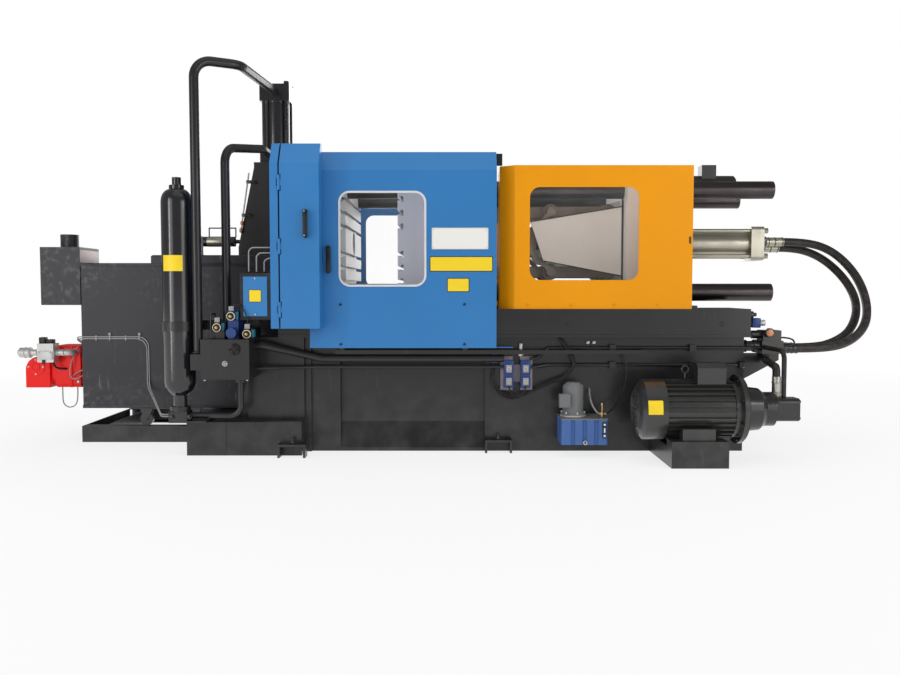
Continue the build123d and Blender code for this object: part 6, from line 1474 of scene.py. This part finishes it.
@dataclass
class PumpSet:
    """Grille, plate and eyebolt of the pump motor, and elbow and bolts of the pump."""

    axis_y: float = -1.200
    axis_z: float = 0.345
    cowl_radius: float = 0.1983
    grille: tuple[float, ...] = (0.035, 0.059, 0.083, 0.107, 0.131)
    grille_end: float = 0.136
    grille_tube: float = 0.004
    spoke_radius: float = 0.0035
    spokes: int = 8
    plate_span: Spot = (1.264, 1.358)
    plate_turn: Spot = (-3.0, 26.0)
    eye_x: float = 1.546
    flange_x: float = 1.873
    hose_x: float = 2.148
    elbow_heights: Sizes = (0.425, 0.455, 0.520, 0.560)
    elbow_radii: Sizes = (0.034, 0.0285)
    elbow_ring: Sizes = (0.029, 0.004)
    eye_heights: Sizes = (0.55, 0.585, 0.606)
    eye_shank: float = 0.011
    eye_ring: Sizes = (0.022, 0.007)
    flange_circle: float = 0.205
    flange_bolts: int = 8
    flange_start: float = 22.5
    flange_bolt: float = 0.011
    pump_screw_radius: float = 0.009
    pump_screw: float = 0.055

    def build(self) -> None:
        """Make every piece of the pump set."""
        y, z = self.axis_y, self.axis_z
        end = (corners("pump_motor")[0].x, y, z)
        grille = Piece("motor_cowl_grille", Finish.MOTOR_GREY)
        for radius in self.grille:
            grille.ring(end, Way.LEFT, radius, self.grille_tube)
        for spot in bolt_circle(end, Way.LEFT, self.grille_end, self.spokes):
            grille.rod(end, spot, self.spoke_radius, 0.0, 8)
        grille.done()
        start, sweep = (math.radians(turn) for turn in self.plate_turn)
        axis = Vector((sum(self.plate_span) / 2, y, z))
        spot = axis + Vector((0.0, -math.cos(start), math.sin(start))) * self.cowl_radius
        plate = Piece("motor_notice_plate", Finish.YELLOW_PLATE)
        plate.wrap(spot, axis, Way.LEFT, self.plate_span[1] - self.plate_span[0], THIN, sweep).done()
        elbow = Piece("pump_hose_elbow", Finish.ZINC)
        foot, joint, collar, top = ((self.hose_x, y, height) for height in self.elbow_heights)
        nut, pipe = self.elbow_radii
        elbow.rod(joint, top, pipe, SOFT_EDGE).rod(foot, joint, nut, EDGE, HEX)
        elbow.ring(collar, Way.UP, *self.elbow_ring).done()
        eye = Piece("motor_eyebolt", Finish.BLACK_STEEL)
        foot, top, middle = ((self.eye_x, y, height) for height in self.eye_heights)
        eye.rod(foot, top, self.eye_shank).ring(middle, Way.FRONT, *self.eye_ring).done()
        bolts = Piece("pump_set_bolts", Finish.BLACK_STEEL)
        flange = (self.flange_x, y, z)
        spots = bolt_circle(flange, Way.LEFT, self.flange_circle, self.flange_bolts, self.flange_start)
        bolts.spread(Piece.hex_bolt, spots, Way.LEFT, self.flange_bolt)
        off = self.pump_screw
        spots = product((corners("hydraulic_pump")[1].x,), (y - off, y + off), (z - off, z + off))
        bolts.spread(Piece.cap_screw, spots, Way.RIGHT, self.pump_screw_radius).done()


@dataclass
class LubeUnit:
    """Level gauge, drain, terminal box, motor flange, brass fittings and hoses of the lubrication unit."""

    gauge_x: float = 1.036
    gauge_span: Spot = (0.135, 0.242)
    gauge_depth: float = 0.008
    gauge: Spot = (0.026, 0.006)
    pane: Sizes = (0.010, 0.032, 0.003, 0.0015)
    gauge_screw: Sizes = (0.008, 0.003)
    screw_inset: float = 0.016
    drain: Spot = (0.908, 0.104)
    drain_ring: Sizes = (0.011, 0.005)
    drain_lift: float = 0.002
    terminal_box: Span = ((0.735, -1.085, 0.335), (0.812, -1.035, 0.428))
    box_edge: float = 0.006
    flange: Point = (0.842, -0.985, 0.272)
    flange_ring: Sizes = (0.082, 0.008)
    bolt_circle_radius: float = 0.076
    bolt_rise: float = 0.012
    bolt_length: float = 0.018
    bolt_radius: float = 0.008
    bolt_count: int = 6
    outlet: Spot = (1.030, -1.05)
    outlet_heights: Point = (0.264, 0.300, 0.345, 0.365)
    outlet_radii: Sizes = (0.014, 0.006, 0.010)
    hose_radius: float = 0.006
    outlet_hose_radius: float = 0.005
    hose_route: Route = (
        (1.005, -1.05, 0.292), (0.985, -1.04, 0.310), (0.965, -1.00, 0.355), (0.962, -0.93, 0.405),
        (0.970, -0.885, 0.430), (0.972, -0.851, 0.440),
    )
    outlet_route: Route = (
        (1.058, -1.05, 0.292), (1.085, -1.04, 0.300), (1.160, -0.98, 0.380), (1.215, -0.93, 0.500),
        (1.222, -0.91, 0.610), (1.190, -0.895, 0.690), (1.150, -0.875, 0.735), (1.140, -0.851, 0.745),
    )

    def build(self) -> None:
        """Make every piece of the unit."""
        front = corners("lube_tank")[0].y
        x, (first, last) = self.gauge_x, self.gauge_span
        middle, face = (first + last) / 2, front - self.gauge_depth
        gauge = Piece("lube_level_gauge", Finish.BLACK_PLASTIC)
        width, corner = self.gauge
        gauge.plate((x, front, middle), width, last - first, corner, self.gauge_depth).done()
        window = Piece("lube_gauge_window", Finish.WHITE_PLATE)
        window.plate((x, face, middle), *self.pane)
        spots = [(x, face, first + self.screw_inset), (x, face, last - self.screw_inset)]
        window.spread(Piece.stud, spots, Way.FRONT, *self.gauge_screw).done()
        x, z = self.drain
        drain = Piece("lube_drain", Finish.ZINC)
        drain.ring((x, front - self.drain_lift, z), Way.FRONT, *self.drain_ring).done()
        Piece("lube_terminal_box", Finish.LUBE_GREY).box(*self.terminal_box, self.box_edge).done()
        flange = Vector(self.flange)
        rim = Piece("lube_motor_flange", Finish.CAST_ALUMINIUM).ring(flange, Way.UP, *self.flange_ring)
        up = Vector(Way.UP.value)
        bolts = bolt_circle(flange + up * self.bolt_rise, Way.UP, self.bolt_circle_radius, self.bolt_count)
        rim.rods([(spot, spot + up * self.bolt_length) for spot in bolts], self.bolt_radius, EDGE, HEX).done()
        foot, joint, neck, top = ((*self.outlet, z) for z in self.outlet_heights)
        brass = Piece("lube_brass_fittings", Finish.BRASS)
        base, stem, cap = self.outlet_radii
        brass.rod(foot, joint, base, EDGE, HEX).rod(joint, neck, stem)
        brass.rods(((self.hose_route[0], self.outlet_route[0]), (neck, top)), cap, EDGE, HEX).done()
        Cable("lube_hose", self.hose_route, self.hose_radius, Finish.CABLE_GREY).hang()
        outlet = Cable("lube_outlet_hose", self.outlet_route, self.outlet_hose_radius, Finish.BLACK_PLASTIC)
        outlet.hang()


@dataclass
class ValvePair:
    """Valves, connectors, coupling and cables of the valve pair on the base."""

    valve_xs: Spot = (0.404, 0.520)
    low: float = 0.455
    high: float = 0.643
    body_half: float = 0.034
    body_depths: Spot = (0.004, 0.05)
    body_inset: float = 0.035
    plug_half: Spot = (0.020, 0.026)
    plug_depth: float = 0.030
    plug_insets: Spot = (0.045, 0.055)
    cap: Sizes = (0.011, 0.003)
    body_edge: float = 0.005
    plug_edge: float = 0.004
    coupling: Spot = (0.491, -0.885)
    coupling_heights: Point = (0.667, 0.700, 0.758)
    coupling_radii: Spot = (0.021, 0.014)
    side_valve: Span = ((0.290, -0.900, 0.622), (0.328, -0.851, 0.690))
    cable_route: Route = (
        (0.0, -0.016, 0.020), (-0.004, -0.014, -0.02), (-0.030, -0.005, -0.050), (-0.05, 0.02, -0.062),
        (0.01, 0.05, -0.045), (0.075, 0.089, -0.005),
    )
    bundle_route: Route = (
        (0.759, -0.868, 0.792), (0.790, -0.885, 0.750), (0.832, -0.912, 0.690), (0.862, -0.922, 0.600),
        (0.800, -0.920, 0.520), (0.676, -0.920, 0.480), (0.552, -0.940, 0.418), (0.428, -0.945, 0.366),
        (0.325, -0.930, 0.410), (0.285, -0.905, 0.500), (0.300, -0.882, 0.575), (0.305, -0.876, 0.630),
    )
    bundle_shift: Point = (0.010, 0.006, 0.013)
    bundle_radius: float = 0.007
    cable_radius: float = 0.005

    def build(self) -> None:
        """Make every piece of the pair."""
        front = corners("valve_pair")[0].y
        bodies = Piece("pair_valve_bodies", Finish.VALVE_BLUE)
        blocks = Piece("pair_connectors", Finish.CABLE_GREY)
        caps = Piece("pair_connector_caps", Finish.CAST_ALUMINIUM)
        half, (across, up) = self.body_half, self.plug_half
        near, back = front - self.body_depths[0], front + self.body_depths[1]
        for x, z in product(self.valve_xs, (self.low + self.body_inset, self.high - self.body_inset)):
            bodies.box((x - half, near, z - half), (x + half, back, z + half), self.body_edge)
        face = front - self.plug_depth
        for x, z in product(self.valve_xs, (self.low + self.plug_insets[0], self.high - self.plug_insets[1])):
            blocks.box((x - across, face, z - up), (x + across, near, z + up), self.plug_edge)
            caps.ring((x, face, z), Way.FRONT, *self.cap)
        for piece in (bodies, blocks, caps):
            piece.done()
        coupling = Piece("pair_coupling", Finish.ZINC)
        foot, joint, top = ((*self.coupling, height) for height in self.coupling_heights)
        nut, pipe = self.coupling_radii
        coupling.rod(foot, joint, nut, EDGE, HEX).rod(joint, top, pipe, EDGE).done()
        for i, (x, side) in enumerate(zip(self.valve_xs, (-1, 1))):
            route = [(x + side * out, front + deep, self.low + rise) for out, deep, rise in self.cable_route]
            Cable(f"pair_cable_{i}", route, self.cable_radius, Finish.BLACK_PLASTIC).hang()
        Piece("pair_side_valve", Finish.VALVE_BLUE).box(*self.side_valve, self.body_edge).done()
        for i in range(2):
            route = [tuple(Vector(spot) + Vector(self.bundle_shift) * i) for spot in self.bundle_route]
            Cable(f"pair_bundle_{i}", route, self.bundle_radius, Finish.BLACK_PLASTIC).hang()


@dataclass
class EndManifold:
    """Solenoid, gauge, connecting rod, unions and small hose of the end manifold."""

    solenoid: Span = ((2.125, -0.80, 0.862), (2.185, -0.73, 0.930))
    solenoid_edge: float = 0.006
    nut: Span = ((2.185, -0.765, 0.896), (2.225, -0.765, 0.896))
    stem: Span = ((2.100, -0.765, 0.896), (2.125, -0.765, 0.896))
    post: Span = ((2.240, -0.80, 0.773), (2.240, -0.80, 0.86))
    nut_radius: float = 0.022
    stem_radius: float = 0.016
    post_radius: float = 0.012
    gauge: Point = (2.2267, -0.862, 0.829)
    gauge_rim: Sizes = (0.028, 0.005)
    gauge_face: Sizes = (0.026, 0.003)
    switch_radii: Spot = (0.024, 0.014)
    link_radius: float = 0.036
    link_ring: Sizes = (0.038, 0.006)
    union_radius: float = 0.017
    hose_radius: float = 0.006
    switch: Span = ((2.082, -0.80, 0.955), (2.128, -0.80, 0.955))
    switch_nut: Span = ((2.128, -0.80, 0.955), (2.150, -0.80, 0.955))
    link: Span = ((2.050, -0.80, 0.735), (2.177, -0.80, 0.735))
    link_rings: Route = ((2.075, -0.80, 0.735), (2.130, -0.80, 0.735))
    unions: Spans = (
        ((2.010, -0.872, 0.617), (2.048, -0.872, 0.617)), ((2.010, -0.872, 0.602), (2.048, -0.872, 0.602)),
    )
    hose_route: Route = (
        (2.290, -0.80, 0.773), (2.296, -0.80, 0.790), (2.335, -0.81, 0.796), (2.395, -0.83, 0.786),
        (2.410, -0.84, 0.758), (2.380, -0.845, 0.738), (2.3275, -0.84, 0.736),
    )

    def build(self) -> None:
        """Make every piece of the manifold."""
        Piece("end_solenoid", Finish.VALVE_BLUE).box(*self.solenoid, self.solenoid_edge).done()
        silver = Piece("end_valve_nuts", Finish.CAST_ALUMINIUM)
        silver.rod(*self.nut, self.nut_radius, SOFT_EDGE, HEX)
        silver.rod(*self.stem, self.stem_radius, SOFT_EDGE).rod(*self.post, self.post_radius, EDGE).done()
        case = Piece("end_gauge_case", Finish.BLACK_STEEL).ring(self.gauge, Way.FRONT, *self.gauge_rim)
        body, nut = self.switch_radii
        case.rod(*self.switch, body, WIDE_EDGE).rod(*self.switch_nut, nut, SOFT_EDGE, HEX)
        case.rod(*self.link, self.link_radius, WIDE_EDGE)
        case.spread(Piece.ring, self.link_rings, Way.RIGHT, *self.link_ring).done()
        Piece("end_gauge_face", Finish.COPPER).stud(self.gauge, Way.FRONT, *self.gauge_face, 32).done()
        Piece("end_unions", Finish.BLACK_STEEL).rods(self.unions, self.union_radius, EDGE, HEX).done()
        Cable("end_hose_loop", self.hose_route, self.hose_radius, Finish.BLACK_PLASTIC).hang()


@dataclass
class BaseFrame:
    """Hole rims, anchor bolts, plugs and weld of the base."""

    beam_face: float = 0.890
    beam_holes: Spots = ((0.809, 0.892), (1.882, 0.892))
    hole_rim: Sizes = (0.012, 0.004)
    anchors: Spots = ((-1.0665, 1.07), (0.3355, 0.895))
    anchor_shank: Sizes = (0.06, 0.125, 0.010)
    anchor_nut: Sizes = (0.09, 0.106, 0.017)
    plug_spots: Spots = ((0.959, 0.762), (1.001, 0.762))
    tank_front: float = -0.850
    plug_length: float = 0.018
    plug_radius: float = 0.013
    weld_radius: float = 0.004
    weld: Span = ((-1.525, -1.025, 0.004), (-1.525, -1.025, 0.229))

    def build(self) -> None:
        """Make every piece of the base."""
        holes = Piece("beam_hole_rims", Finish.BLACK_STEEL)
        for way in (Way.FRONT, Way.BACK):
            spots = upright(way.value[1] * self.beam_face, self.beam_holes)
            holes.spread(Piece.ring, spots, way, *self.hole_rim, 20)
        holes.done()
        bolts = Piece("anchor_bolts", Finish.BLACK_STEEL)
        for (x, y), side in product(self.anchors, (-1, 1)):
            for (foot, top, radius), rim in ((self.anchor_shank, ()), (self.anchor_nut, (EDGE, HEX))):
                bolts.rod((x, side * y, foot), (x, side * y, top), radius, *rim)
        bolts.done()
        spans = [
            ((x, self.tank_front, z), (x, self.tank_front - self.plug_length, z)) for x, z in self.plug_spots
        ]
        Piece("tank_plugs", Finish.ZINC).rods(spans, self.plug_radius, EDGE, HEX).done()
        Piece("plinth_weld", Finish.MACHINE_GREY).rod(*self.weld, self.weld_radius, 0.0, 10).done()


def dress_nodes() -> None:
    """Give every carried-over CAD node the finish of its slot in the record."""
    finishes = {finish.value.name: finish for finish in Finish}
    for entry in frame["record"]["subparts"]:
        node = frame["nodes"][entry["node"]]
        node.data.materials.clear()
        node.data.materials.append(finishes[entry["material_slot"]].material)
        log.info("%s: %s", entry["node"], entry["material_slot"])


def main() -> None:
    """Build the scene in order."""
    logging.basicConfig(level=logging.INFO, format="%(name)s %(message)s")
    Studio().build()
    dress_nodes()
    parts = (
        FreeHoses(), FrontDoor(), SideCover(), ToggleGuard(), Accumulator(), Manifold(), JunctionBox(),
        Furnace(), Injection(), ClampEnd(), PumpSet(), LubeUnit(), ValvePair(), EndManifold(), BaseFrame(),
    )
    for part in parts:
        part.build()


if __name__ == "__main__":
    main()
